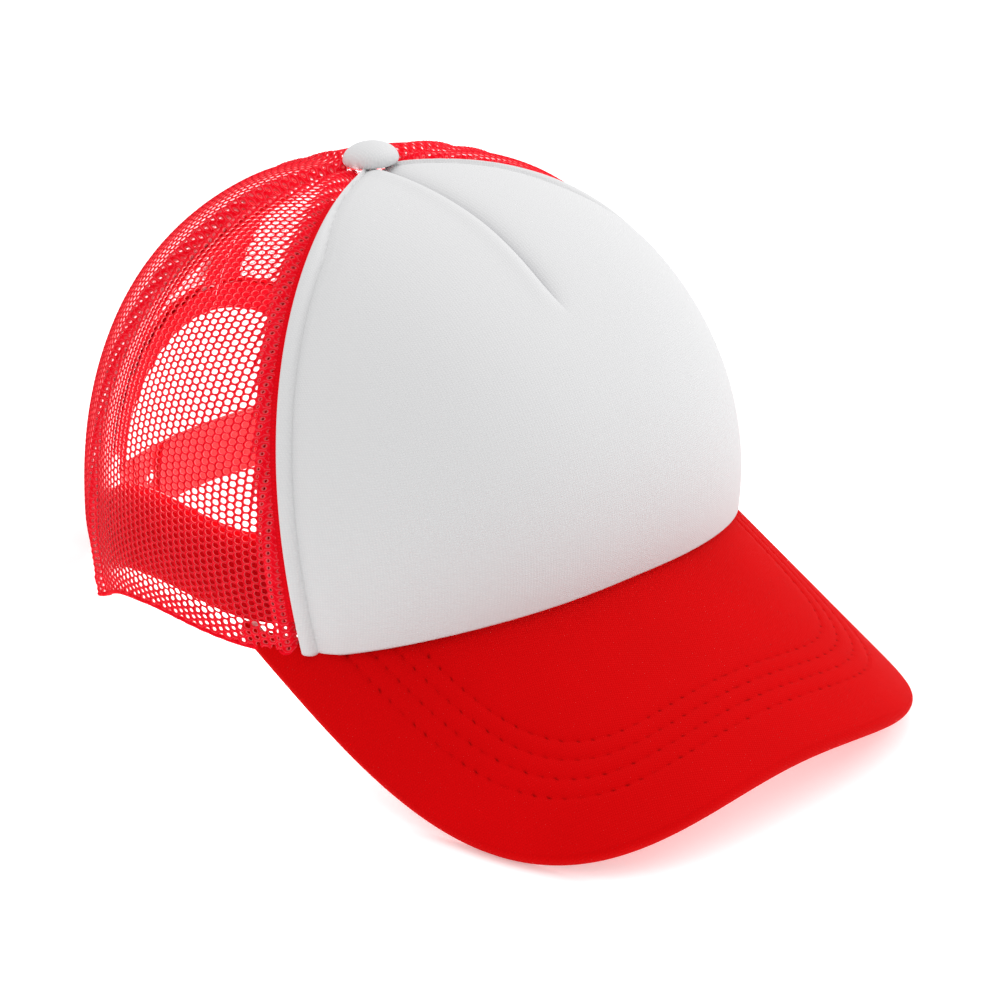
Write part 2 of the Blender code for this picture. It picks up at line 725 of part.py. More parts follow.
WHITE_KNIT = material("white_knit", (0.86, 0.86, 0.87), 0.85)
FOAM = material("foam", (0.9, 0.89, 0.84), 0.95)
RED_MESH = material("red_mesh", (0.75, 0.01, 0.02), 0.6)
RED_TAPE = material("red_tape", (0.7, 0.01, 0.02), 0.75)
RED_BAND = material("red_band", (0.78, 0.01, 0.02), 0.8)
RED_TWILL = material("red_twill", (0.8, 0.01, 0.01), 0.7)
WHITE_LABEL = material("white_label", (0.9, 0.9, 0.9), 0.6)
BOARD = material("peak_board", (0.9, 0.9, 0.88), 0.45)
RED_PLASTIC = material("red_plastic", (0.72, 0.01, 0.02), 0.35)
ALUMINIUM = material("aluminium", (0.8, 0.8, 0.82), 0.3, 1.0)

# The straps' arcs are struck so that the outer one meets its tab just inside the binding.
ROOT_DEPTH = MESH_THICKNESS + LAYER_GAP + BINDING_CLOTH + ROOT_CLEARANCE
ROOT = crown_point(math.pi - math.atan2(STRAP_HINGE_X, REAR_REACH * 0.8), 0, ROOT_DEPTH)
ARC_CENTRE_Y = -math.sqrt(STRAP_RADIUS ** 2 - ROOT.x ** 2)
CLOSURE.location = (0, ROOT.y, 0)

front_panels()
mesh_panels()
seam_tapes()
sweatband()
care_label()
peak()
opening_binding()
snap_closure()
button()
set_down()
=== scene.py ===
"""Looks of a trucker mesh cap: foam front, four knitted net panels, sewn peak and snap closure.

The CAD model is loaded as a fixed frame. Every soft piece is made again here with its real cloth
shape, in the cap's own frame, whose origin is the centre of the rim plane with the peak towards -Y.
"""

import math
from contextlib import contextmanager

import bmesh
import bpy
import numpy as np
from mathutils import Matrix, Vector


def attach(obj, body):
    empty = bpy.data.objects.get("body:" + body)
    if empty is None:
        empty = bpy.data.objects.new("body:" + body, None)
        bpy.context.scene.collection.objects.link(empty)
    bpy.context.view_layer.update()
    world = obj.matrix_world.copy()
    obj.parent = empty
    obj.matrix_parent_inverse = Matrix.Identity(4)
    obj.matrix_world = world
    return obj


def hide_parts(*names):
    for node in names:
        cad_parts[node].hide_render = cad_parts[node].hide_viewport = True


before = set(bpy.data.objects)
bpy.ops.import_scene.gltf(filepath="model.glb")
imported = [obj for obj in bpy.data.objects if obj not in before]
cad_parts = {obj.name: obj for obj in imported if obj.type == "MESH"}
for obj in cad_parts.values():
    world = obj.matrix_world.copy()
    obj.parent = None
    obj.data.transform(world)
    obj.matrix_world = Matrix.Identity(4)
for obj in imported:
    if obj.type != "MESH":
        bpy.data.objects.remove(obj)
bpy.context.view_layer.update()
bpy.ops.object.select_all(action="DESELECT")

MM = 0.001

# How the cap sits on the table
TILT = math.radians(-8.3094)
STANCE = Matrix.Translation((0, 31.142 * MM, 13.296 * MM)) @ Matrix.Rotation(TILT, 4, "X")

# Crown, as in the CAD model
HALF_WIDTH = 88 * MM
FRONT_REACH = 102 * MM
REAR_REACH = 92 * MM
CROWN_HEIGHT = 111 * MM
PLAN_POWER_FRONT = 2.25
PLAN_POWER_REAR = 1.75
PROFILE_POWER_FRONT = 2.12
PROFILE_POWER_SIDE = 2.52
PROFILE_POWER_REAR = 2.13
FOREHEAD_TUCK = 0.074
FRONT_SEAM = math.radians(56)
FRONT_SEAM_TURN = (math.radians(6.5), math.radians(-3.5))
SIDE_SEAM = math.radians(112)
SIDE_SEAM_TURN = math.radians(-14)

# Peak, as in the CAD model
PEAK_HALF_WIDTH = 81 * MM
PEAK_LENGTH = 118 * MM
PEAK_ROOT_Y = -33 * MM
PEAK_SIDE_POWER = 3.5
PEAK_FRONT_POWER = 3.45
PEAK_SLOPE = math.tan(math.radians(29.5))
PEAK_CROWN_CLEARANCE = 1.5 * MM
PEAK_TOP_AT_FRONT = 8.9 * MM
PEAK_ARCH = 3.2
PEAK_EDGE_DROP = 400
PEAK_END = math.radians(67.8)
RIM_FLAT_FROM = math.radians(118)
PEAK_TUCK = 4 * MM
PEAK_THICKNESS = 3.9 * MM

# Cloth layers, as depths under the crown's outer face
FACE_THICKNESS = 0.7 * MM
FOAM_DEPTH = 1.25 * MM
FOAM_THICKNESS = 2.5 * MM
FOAM_SETBACK = 5.5 * MM
TAPE_DEPTH = 1.45 * MM
TAPE_THICKNESS = 0.6 * MM
BAND_DEPTH_FRONT = 4.65 * MM
BAND_DEPTH_BACK = 2.6 * MM
BAND_BOTTOM = 7 * MM
BAND_HEIGHT = 24 * MM
BAND_END = math.radians(138)
BAND_TOTAL = 3.3 * MM
OPENING_HALF_WIDTH = 44 * MM
OPENING_HEIGHT = 56 * MM
BINDING_WIDTH = 8 * MM


# Shape of the crown and the peak

def smooth(t):
    t = np.clip(t, 0, 1)
    return t * t * (3 - 2 * t)


def reach(angle):
    """Distance from the button's axis to the rim, in plan."""
    c = np.cos(angle)
    power = np.where(c > 0, PLAN_POWER_FRONT, PLAN_POWER_REAR)
    length = np.where(c > 0, FRONT_REACH, REAR_REACH)
    total = np.abs(np.sin(angle) / HALF_WIDTH) ** power + np.abs(c / length) ** power
    return total ** (-1 / power)


def peak_height(x, y):
    """The peak's top face: it slopes forward and arches over its width."""
    forward = -FRONT_REACH - y
    return PEAK_TOP_AT_FRONT - PEAK_SLOPE * forward - PEAK_ARCH * x ** 2 - PEAK_EDGE_DROP * x ** 4


def crown_face(angle, rise):
    """A point of the crown's outer face; rise runs from 0 at the rim to 1 at the button."""
    angle, rise = np.broadcast_arrays(np.asarray(angle, float), np.asarray(rise, float))
    angle = np.remainder(angle + math.pi, 2 * math.pi) - math.pi
    s, c = np.sin(angle), np.cos(angle)
    ahead, behind = np.maximum(c, 0) ** 2, np.maximum(-c, 0) ** 2
    tuck = FOREHEAD_TUCK * ahead
    power = PROFILE_POWER_FRONT * ahead + PROFILE_POWER_REAR * behind + PROFILE_POWER_SIDE * s ** 2
    inward = np.maximum(1 - rise ** power, 0) ** (1 / power) * (1 - tuck * (1 - rise) ** 4)
    radius = reach(angle)
    rim = radius * (1 - tuck)
    onto_peak = smooth((RIM_FLAT_FROM - np.abs(angle)) / (RIM_FLAT_FROM - PEAK_END))
    bottom = onto_peak * (peak_height(rim * s, -rim * c) + PEAK_CROWN_CLEARANCE)
    height = bottom + (CROWN_HEIGHT - bottom) * rise
    return np.stack([radius * inward * s, -radius * inward * c, height], axis=-1)


def unit(vectors):
    return vectors / np.maximum(np.linalg.norm(vectors, axis=-1, keepdims=True), 1e-12)


def crown_normal(angle, rise):
    step = 0.002
    rise = np.asarray(rise, float)
    low, high = np.maximum(rise - step, 0), np.minimum(rise + step, 0.9999)
    along = crown_face(angle + step, rise) - crown_face(angle - step, rise)
    up = crown_face(angle, high) - crown_face(angle, low)
    return unit(np.cross(along, up))


def crown_point(angle, rise, depth=0.0):
    """A point moved inwards by depth along the face's normal."""
    depth = np.asarray(depth, float)[..., None]
    return crown_face(angle, rise) - depth * crown_normal(angle, rise)


def rise_of(height, angle):
    return height / (CROWN_HEIGHT - crown_face(angle, 0)[..., 2])


def front_seam(rise):
    return FRONT_SEAM + FRONT_SEAM_TURN[0] * rise + FRONT_SEAM_TURN[1] * rise ** 3


def side_seam(rise):
    return SIDE_SEAM + SIDE_SEAM_TURN * rise ** 3


def rear_seam(rise):
    return math.pi + 0 * rise


def run_along(steps):
    """Distance run after each step, from 0."""
    return np.concatenate([[0], np.cumsum(steps)])


def mirrored(seam):
    return lambda rise: -seam(rise)


def ring_radius(angle, rise):
    around = crown_face(angle, rise)
    return np.hypot(around[..., 0], around[..., 1])


def peak_surface(x, y, depth):
    """A point over (x, y) on the peak, moved down by depth along its normal."""
    fall = 2 * PEAK_ARCH * x + 4 * PEAK_EDGE_DROP * x ** 3
    normal = unit(np.stack([fall, np.full_like(fall, -PEAK_SLOPE), np.ones_like(fall)], axis=-1))
    place = np.stack([x, y, peak_height(x, y)], axis=-1)
    return place - np.asarray(depth, float)[..., None] * normal


def opening_edge(turn, out, depth):
    """A point round the rear opening; out is its distance from the edge, away from the hole."""
    x = (OPENING_HALF_WIDTH + out) * np.cos(turn)
    z = (OPENING_HEIGHT + out) * np.sin(turn)
    rise = z / CROWN_HEIGHT
    low, high = np.zeros_like(x), np.full_like(x, math.radians(80))
    for _ in range(40):
        middle = (low + high) / 2
        short = crown_face(math.pi - middle, rise)[..., 0] < np.abs(x)
        low = np.where(short, middle, low)
        high = np.where(short, high, middle)
    return crown_point(math.pi - np.where(x < 0, -low, low), rise, depth)


# Making pieces from points

def placed(points):
    """From the cap's frame to the frame of the whole object."""
    turn = np.array(STANCE.to_3x3())
    return points @ turn.T + np.array(STANCE.translation)


def new_piece(name, points, faces, surface, cloth_map=None, marks=None):
    """An object from points in the cap's frame, with a map in metres and marks for its material."""
    mesh = bpy.data.meshes.new(name)
    mesh.from_pydata(placed(np.asarray(points)).tolist(), [], faces)
    if cloth_map is not None:
        corners = np.empty(len(mesh.loops), dtype=np.int32)
        mesh.loops.foreach_get("vertex_index", corners)
        layer = mesh.uv_layers.new(name="cloth")
        layer.data.foreach_set("uv", np.asarray(cloth_map)[corners].ravel())
    for mark, values in (marks or {}).items():
        layer = mesh.attributes.new(mark, "FLOAT", "POINT")
        layer.data.foreach_set("value", np.asarray(values, float).ravel())
    mesh.shade_smooth()
    mesh.materials.append(surface)
    obj = bpy.data.objects.new(name, mesh)
    bpy.context.scene.collection.objects.link(obj)
    return obj


def grid_faces(columns, rows, wrap=False):
    """Quads of a grid of points with index i * rows + j; wrap closes it across the rows."""
    faces = []
    for i in range(columns - 1):
        for j in range(rows if wrap else rows - 1):
            k = (j + 1) % rows
            faces.append((i * rows + j, (i + 1) * rows + j, (i + 1) * rows + k, i * rows + k))
    return faces


def capped_faces(stations, corners):
    """Faces of a closed section carried along stations, with both ends closed."""
    faces = grid_faces(stations, corners, wrap=True)
    last = (stations - 1) * corners
    faces.append(tuple(range(corners))[::-1])
    faces.append(tuple(last + k for k in range(corners)))
    return faces


def flat_map(points):
    """Distances along a grid's columns and rows, as the cloth lay before it was sewn."""
    u = run_along(np.linalg.norm(np.diff(points, axis=0), axis=-1).mean(axis=1))
    v = run_along(np.linalg.norm(np.diff(points, axis=1), axis=-1).mean(axis=0))
    return np.stack(np.meshgrid(u, v, indexing="ij"), axis=-1).reshape(-1, 2)


def cloth_sheet(name, points, surface, thickness, marks=None, cloth_map=None):
    """A grid of points made a sheet, thickened towards the inside."""
    columns, rows = points.shape[:2]
    if cloth_map is None:
        cloth_map = flat_map(points)
    faces = grid_faces(columns, rows)
    obj = new_piece(name, points.reshape(-1, 3), faces, surface, cloth_map, marks)
    if thickness:
        thicken(obj, thickness)
    return obj


def thicken(obj, thickness):
    solid = obj.modifiers.new("thickness", "SOLIDIFY")
    solid.thickness = thickness
    solid.offset = -1
    finish_modifiers(obj)


def finish_modifiers(obj):
    """Applies every modifier of one piece."""
    bpy.ops.object.select_all(action="DESELECT")
    bpy.context.view_layer.objects.active = obj
    obj.select_set(True)
    for modifier in list(obj.modifiers):
        bpy.ops.object.modifier_apply(modifier=modifier.name)
    obj.select_set(False)


def closed_strip(name, section_points, surface, marks=None):
    """A closed section carried along stations: an array of stations by corners by 3."""
    stations, corners = section_points.shape[:2]
    faces = capped_faces(stations, corners)
    lay = flat_map(section_points)
    obj = new_piece(name, section_points.reshape(-1, 3), faces, surface, lay, marks)
    turn_faces_out(obj)
    return obj


@contextmanager
def mesh_edit(obj):
    bm = bmesh.new()
    bm.from_mesh(obj.data)
    yield bm
    bm.to_mesh(obj.data)
    bm.free()


def turn_faces_out(obj):
    with mesh_edit(obj) as bm:
        bmesh.ops.recalc_face_normals(bm, faces=bm.faces)


def tube(path, radius, sides=6):
    """Points and faces of a closed round tube along a path in the cap's frame."""
    path = np.asarray(path, float)
    ahead = unit(np.gradient(path, axis=0))
    side = unit(np.cross(ahead, np.array([0.31, 0.17, 0.93])))
    up = np.cross(side, ahead)
    turn = np.arange(sides) * 2 * math.pi / sides
    ring = np.cos(turn)[None, :, None] * side[:, None] + np.sin(turn)[None, :, None] * up[:, None]
    width = np.broadcast_to(np.asarray(radius, float), (len(path),))[:, None, None]
    points = path[:, None] + ring * width
    return points.reshape(-1, 3), capped_faces(len(path), sides)


def joined_tubes(name, paths, radius, surface, sides=6):
    """Many short tubes as one piece, such as a seam's stitches."""
    points, faces, count = [], [], 0
    for path in paths:
        some, quads = tube(path, radius, sides)
        points.append(some)
        faces.extend(tuple(count + k for k in quad) for quad in quads)
        count += len(some)
    obj = new_piece(name, np.concatenate(points), faces, surface)
    turn_faces_out(obj)
    return obj


# Finishes

class Finish:
    """A material whose nodes are added one by one."""

    def __init__(self, name, colour, roughness, metallic=0.0, sheen=0.0, specular=0.5):
        self.material = bpy.data.materials.new(name)
        self.material.use_nodes = True
        self.nodes = self.material.node_tree.nodes
        self.links = self.material.node_tree.links
        self.shader = self.nodes["Principled BSDF"]
        for socket, value in (("Base Color", (*colour, 1)), ("Roughness", roughness),
                              ("Metallic", metallic), ("Specular IOR Level", specular),
                              ("Sheen Weight", sheen), ("Sheen Roughness", 0.5),
                              ("Sheen Tint", (*[0.25 + 0.75 * c for c in colour], 1))):
            self.shader.inputs[socket].default_value = value
        self.colour = None
        self.start_colour = (*colour, 1)
        self.height = None

    def node(self, kind, **settings):
        made = self.nodes.new(kind)
        for setting, value in settings.items():
            setattr(made, setting, value)
        return made

    def plug(self, made, socket, value):
        """Sets a socket to a number or colour, or links it to another node's output."""
        if isinstance(value, bpy.types.NodeSocket):
            self.links.new(value, made.inputs[socket])
        else:
            made.inputs[socket].default_value = value

    def cloth_place(self, scale, turn=0.0):
        """The cloth's own map in metres, scaled so that one unit is one repeat."""
        source = self.node("ShaderNodeUVMap", uv_map="cloth")
        mapping = self.node("ShaderNodeMapping")
        self.links.new(source.outputs["UV"], mapping.inputs["Vector"])
        mapping.inputs["Scale"].default_value = scale
        mapping.inputs["Rotation"].default_value = (0, 0, turn)
        return mapping.outputs["Vector"]

    def solid_place(self):
        return self.node("ShaderNodeTexCoord").outputs["Object"]

    def noise(self, place, scale, detail=3.0, roughness=0.6):
        made = self.node("ShaderNodeTexNoise")
        self.plug(made, "Vector", place)
        self.plug(made, "Scale", scale)
        self.plug(made, "Detail", detail)
        self.plug(made, "Roughness", roughness)
        return made.outputs["Fac"]

    def ribs(self, place, direction="X", distortion=0.0):
        made = self.node("ShaderNodeTexWave", wave_type="BANDS", bands_direction=direction)
        self.plug(made, "Vector", place)
        self.plug(made, "Scale", math.pi / 10)
        self.plug(made, "Distortion", distortion)
        self.plug(made, "Detail", 1.0)
        self.plug(made, "Detail Scale", 2.0)
        return made.outputs["Fac"]

    def sum_of(self, kind, first, second):
        made = self.node("ShaderNodeMath", operation=kind)
        self.plug(made, 0, first)
        self.plug(made, 1, second)
        return made.outputs["Value"]

    def spread(self, value, low, high, to_low=0.0, to_high=1.0):
        made = self.node("ShaderNodeMapRange")
        for socket, number in (("Value", value), ("From Min", low), ("From Max", high),
                               ("To Min", to_low), ("To Max", to_high)):
            self.plug(made, socket, number)
        return made.outputs["Result"]

    def mark(self, name):
        return self.node("ShaderNodeAttribute", attribute_name=name).outputs["Fac"]

    def tint(self, share, colour):
        """Mixes another colour over what is there, by a share from 0 to 1."""
        made = self.node("ShaderNodeMix", data_type="RGBA")
        self.plug(made, 0, share)
        self.plug(made, 6, self.colour or self.start_colour)
        self.plug(made, 7, (*colour, 1))
        self.colour = made.outputs[2]
        self.links.new(self.colour, self.shader.inputs["Base Color"])

    def relief(self, height, distance, strength=1.0):
        made = self.node("ShaderNodeBump")
        self.plug(made, "Height", height)
        self.plug(made, "Distance", distance)
        self.plug(made, "Strength", strength)
        if self.height is not None:
            self.links.new(self.height, made.inputs["Normal"])
        self.height = made.outputs["Normal"]
        self.links.new(self.height, self.shader.inputs["Normal"])


def repeats(pitch, other=None):
    """Mapping scale for a wave that repeats every pitch metres."""
    return (1 / pitch, 1 / (other or pitch), 1)


def yarn_finish(name, colour, light, dark, roughness=0.85, sheen=0.03):
    """Twisted yarn: fine fibres over soft colour changes."""
    made = Finish(name, colour, roughness, sheen=sheen, specular=0.06)
    place = made.solid_place()
    made.tint(made.spread(made.noise(place, 260, 2), 0.35, 0.7, 0, 0.55), light)
    made.tint(made.spread(made.noise(place, 900, 2), 0.5, 0.8, 0, 0.6), dark)
    made.relief(made.noise(place, 2200, 3), 0.00015, 0.8)
    return made


def woven_finish(name, colour, light, dark, pitch, roughness=0.75, sheen=0.03, turn=0.0, depth=0.6):
    """Plain or twill weave: two sets of threads that cross."""
    made = Finish(name, colour, roughness, sheen=sheen, specular=0.06)
    place = made.cloth_place(repeats(pitch), turn)
    warp = made.ribs(place, "X", 0.6)
    weft = made.ribs(place, "Y", 0.6)
    weave = made.sum_of("MULTIPLY", warp, weft)
    solid = made.solid_place()
    made.tint(made.spread(made.noise(solid, 35, 3), 0.4, 0.7, 0, 0.25), light)
    made.tint(made.spread(weave, 0.1, 0.7, depth, 0.0), dark)
    made.relief(weave, 0.0002, 0.5)
    made.relief(made.noise(solid, 1800, 2), 0.0001, 0.4)
    return made


RED_LIGHT = (0.97, 0.012, 0.03)
RED_DARK = (0.62, 0.0, 0.004)

net_red = yarn_finish("red_net_yarn", (0.84, 0.0, 0.010), RED_LIGHT, RED_DARK)
# Painted highlight: a pinker red where the fine thread runs, standing in for the light the thread
# catches.
net_red.tint(net_red.spread(net_red.mark("thread_and_highlight"), 0.4, 1.0, 0.0, 0.4), (1.0, 0.14, 0.19))
# Painted light: the net's inner face, and less so its hole walls, is tinted pale pink, standing in
# for bright light bleaching the far net inside the crown.
net_red.tint(net_red.mark("inner_side"), (1.0, 0.72, 0.75))
band_red = woven_finish("red_band_cloth", (0.86, 0.0, 0.008), RED_LIGHT, RED_DARK, 0.0007)
band_red.tint(band_red.mark("inner_side"), (0.86, 0.85, 0.84))
tape_red = woven_finish("red_seam_tape", (0.84, 0.0, 0.008), RED_LIGHT, RED_DARK, 0.0009)
binding_red = woven_finish("red_binding", (0.84, 0.0, 0.008), RED_LIGHT, RED_DARK, 0.0008)
stitch_red = yarn_finish("red_sewing_thread", (0.92, 0.01, 0.02), (1.0, 0.10, 0.13), RED_DARK, 0.6)

peak_red = woven_finish("red_peak_twill", (0.66, 0.0, 0.001), (0.78, 0.0, 0.002), (0.46, 0.0, 0.0),
                        0.00058, 0.9, 0.03, math.radians(28), 0.3)
# Painted shade: the cloth is darkened round each needle hole, where the hole's depth would shade
# it.
peak_red.tint(peak_red.mark("needle_hole_shade"), (0.16, 0.0, 0.0))

knit_white = Finish("white_tricot", (0.69, 0.69, 0.692), 0.9, sheen=0.03, specular=0.1)
knit_place = knit_white.cloth_place(repeats(0.00078, 0.0006))
knit_wale = knit_white.ribs(knit_place, "X", 1.5)
knit_course = knit_white.ribs(knit_place, "Y", 1.5)
knit_loops = knit_white.sum_of("MULTIPLY", knit_wale, knit_course)
knit_white.tint(knit_white.spread(knit_loops, 0.05, 0.5, 0.3, 0.0), (0.58, 0.58, 0.60))
# Painted shade: the cloth is darkened along the dart's fold, where the crease would be shaded.
knit_white.tint(knit_white.spread(knit_white.mark("crease_shade"), 0.0, 1.0, 0.0, 0.5), (0.5, 0.5, 0.52))
knit_white.relief(knit_loops, 0.00012, 0.45)
knit_white.relief(knit_white.noise(knit_white.solid_place(), 900, 3), 0.00012, 0.3)

foam_white = Finish("open_cell_foam", (0.83, 0.82, 0.77), 0.95, sheen=0.1)
foam_cells = foam_white.noise(foam_white.solid_place(), 1400, 4)
foam_white.tint(foam_white.spread(foam_cells, 0.35, 0.5, 0.5, 0.0), (0.6, 0.58, 0.52))
foam_white.relief(foam_cells, 0.0004, 0.8)

label_white = woven_finish("white_satin_label", (0.85, 0.85, 0.84), (0.95, 0.95, 0.95),
                           (0.7, 0.7, 0.7), 0.0004, 0.4, 0.1, 0, 0.3)

def hard_finish(name, colour, roughness, grain, relief, clouds, tint, metallic=0.0):
    """A smooth hard surface with fine grain and soft clouds of a second colour."""
    made = Finish(name, colour, roughness, metallic=metallic)
    grain_scale, grain_detail = grain
    made.relief(made.noise(made.solid_place(), grain_scale, grain_detail), *relief)
    scale, low, high, depth = clouds
    made.tint(made.spread(made.noise(made.solid_place(), scale), low, high, 0, depth), tint)
    return made


plastic_red = hard_finish("red_moulded_plastic", (0.62, 0.002, 0.006), 0.32, (1500, 3),
                          (0.00006, 0.35), (60, 0.4, 0.8, 0.2), (0.75, 0.01, 0.015))
board_white = hard_finish("white_board", (0.8, 0.8, 0.78), 0.5, (500, 2),
                          (0.0001, 0.3), (40, 0.4, 0.7, 0.2), (0.7, 0.7, 0.66))
spun_metal = hard_finish("spun_aluminium", (0.75, 0.75, 0.77), 0.3, (800, 2),
                         (0.00005, 0.3), (120, 0.4, 0.7, 0.3), (0.6, 0.6, 0.62), 1.0)


# Net panels

NET_COLUMN = 2.2 * MM
NET_ROW = 1.84 * MM
NET_HOLE = (0.84 * MM, 0.69 * MM)
STRIP_WIDTH = 6.3 * MM
HEM_WIDTH = 5.0 * MM
NET_TOP_GAP = 3.0 * MM
SEAM_ROLL = 0.5 * MM
RIM_ROLL = 0.62 * MM
BORDER = 12  # points round one mesh of the net
UNEVENNESS = 0.055


def net_cell():
    """One mesh of the net: its border, its hole, and which places carry the fine thread, which is
    raised and also gets a painted highlight.
    """
    near, far, half = NET_COLUMN / 3, NET_COLUMN * 2 / 3, NET_ROW / 2
    corners = np.array([(near, half), (-near, half), (-far, 0),
                        (-near, -half), (near, -half), (far, 0)])
    middles = (corners + np.roll(corners, -1, axis=0)) / 2
    border = np.stack([corners, middles], axis=1).reshape(BORDER, 2)
    turn = np.arctan2(border[:, 1] / half, border[:, 0] / far)
    c, s = np.cos(turn), np.sin(turn)
    hole = np.stack([np.sign(c) * np.abs(c) ** 0.72 * NET_HOLE[0],
                     np.sign(s) * np.abs(s) ** 0.8 * NET_HOLE[1]], axis=-1)
    even = np.array([1, 1, 1, 0, 0.4, 0.7, 1, 1, 1, 0.7, 0.4, 0])
    odd = np.array([1, 1, 1, 0.7, 0.4, 0, 1, 1, 1, 0, 0.4, 0.7])
    return border, hole, even, odd


class PanelPlan:
    """Where a panel's flat cloth lies on the crown: across from its middle, up from the rim."""

    def __init__(self, right_edge, left_edge, gap=0.3 * MM):
        self.right_edge, self.left_edge, self.gap = right_edge, left_edge, gap
        self.rises = np.sin(np.linspace(0, math.radians(89.2), 400)) ** 0.83
        self.rises[0] = 0
        middle = self.middle(self.rises)
        steps = np.linalg.norm(np.diff(crown_face(middle, self.rises), axis=0), axis=-1)
        self.heights = np.concatenate([[0], np.cumsum(steps)])
        self.top = self.heights[-1] - NET_TOP_GAP

    def middle(self, rise):
        return (self.right_edge(rise) + self.left_edge(rise)) / 2

    def rise(self, up):
        return np.interp(up, self.heights, self.rises)

    def half(self, up):
        """Half the panel's width, and half its angle."""
        rise = self.rise(up)
        angle = (self.left_edge(rise) - self.right_edge(rise)) / 2
        radius = ring_radius(self.middle(rise), rise)
        return np.maximum(angle * radius - self.gap, 0.2 * MM), angle - self.gap / radius

    def area(self):
        """Area of the flat cut, in square metres."""
        return float(2 * self.half(np.linspace(0, self.top, 200))[0].mean() * self.top)

    def where(self, across, up, lift=0.0):
        rise = self.rise(up)
        half_width, half_angle = self.half(up)
        angle = self.middle(rise) + np.clip(across / half_width, -1, 1) * half_angle
        return crown_point(angle, rise, -np.asarray(lift) + 0 * rise)


def net_lift(plan, across, up, swelling, front_side=0):
    """How far the net stands proud: it swells between its seams and sinks into them."""
    half_width, _ = plan.half(up)
    share = np.clip(np.abs(across) / half_width, 0, 1)
    beside = half_width - np.abs(across)
    swell = 1.1 * MM * swelling * (1 - share ** 4)
    swell = swell * smooth(up / (20 * MM)) * smooth(half_width / (25 * MM))
    valley = 1.7 * MM * np.exp(-(beside / (1.3 * MM)) ** 2)
    ridge = 0.9 * MM * np.exp(-((beside - 4.0 * MM) / (1.5 * MM)) ** 2)
    hem_ridge = 0.35 * MM * np.exp(-((up - HEM_WIDTH) / (1.2 * MM)) ** 2)
    slack = 0.22 * MM * np.sin(across / (8.5 * MM) + up / (17 * MM)) * np.sin(up / (11 * MM))
    towards_front = 1.4 * MM * smooth(front_side * across / half_width)
    return swell - valley + ridge + hem_ridge + slack * share - towards_front


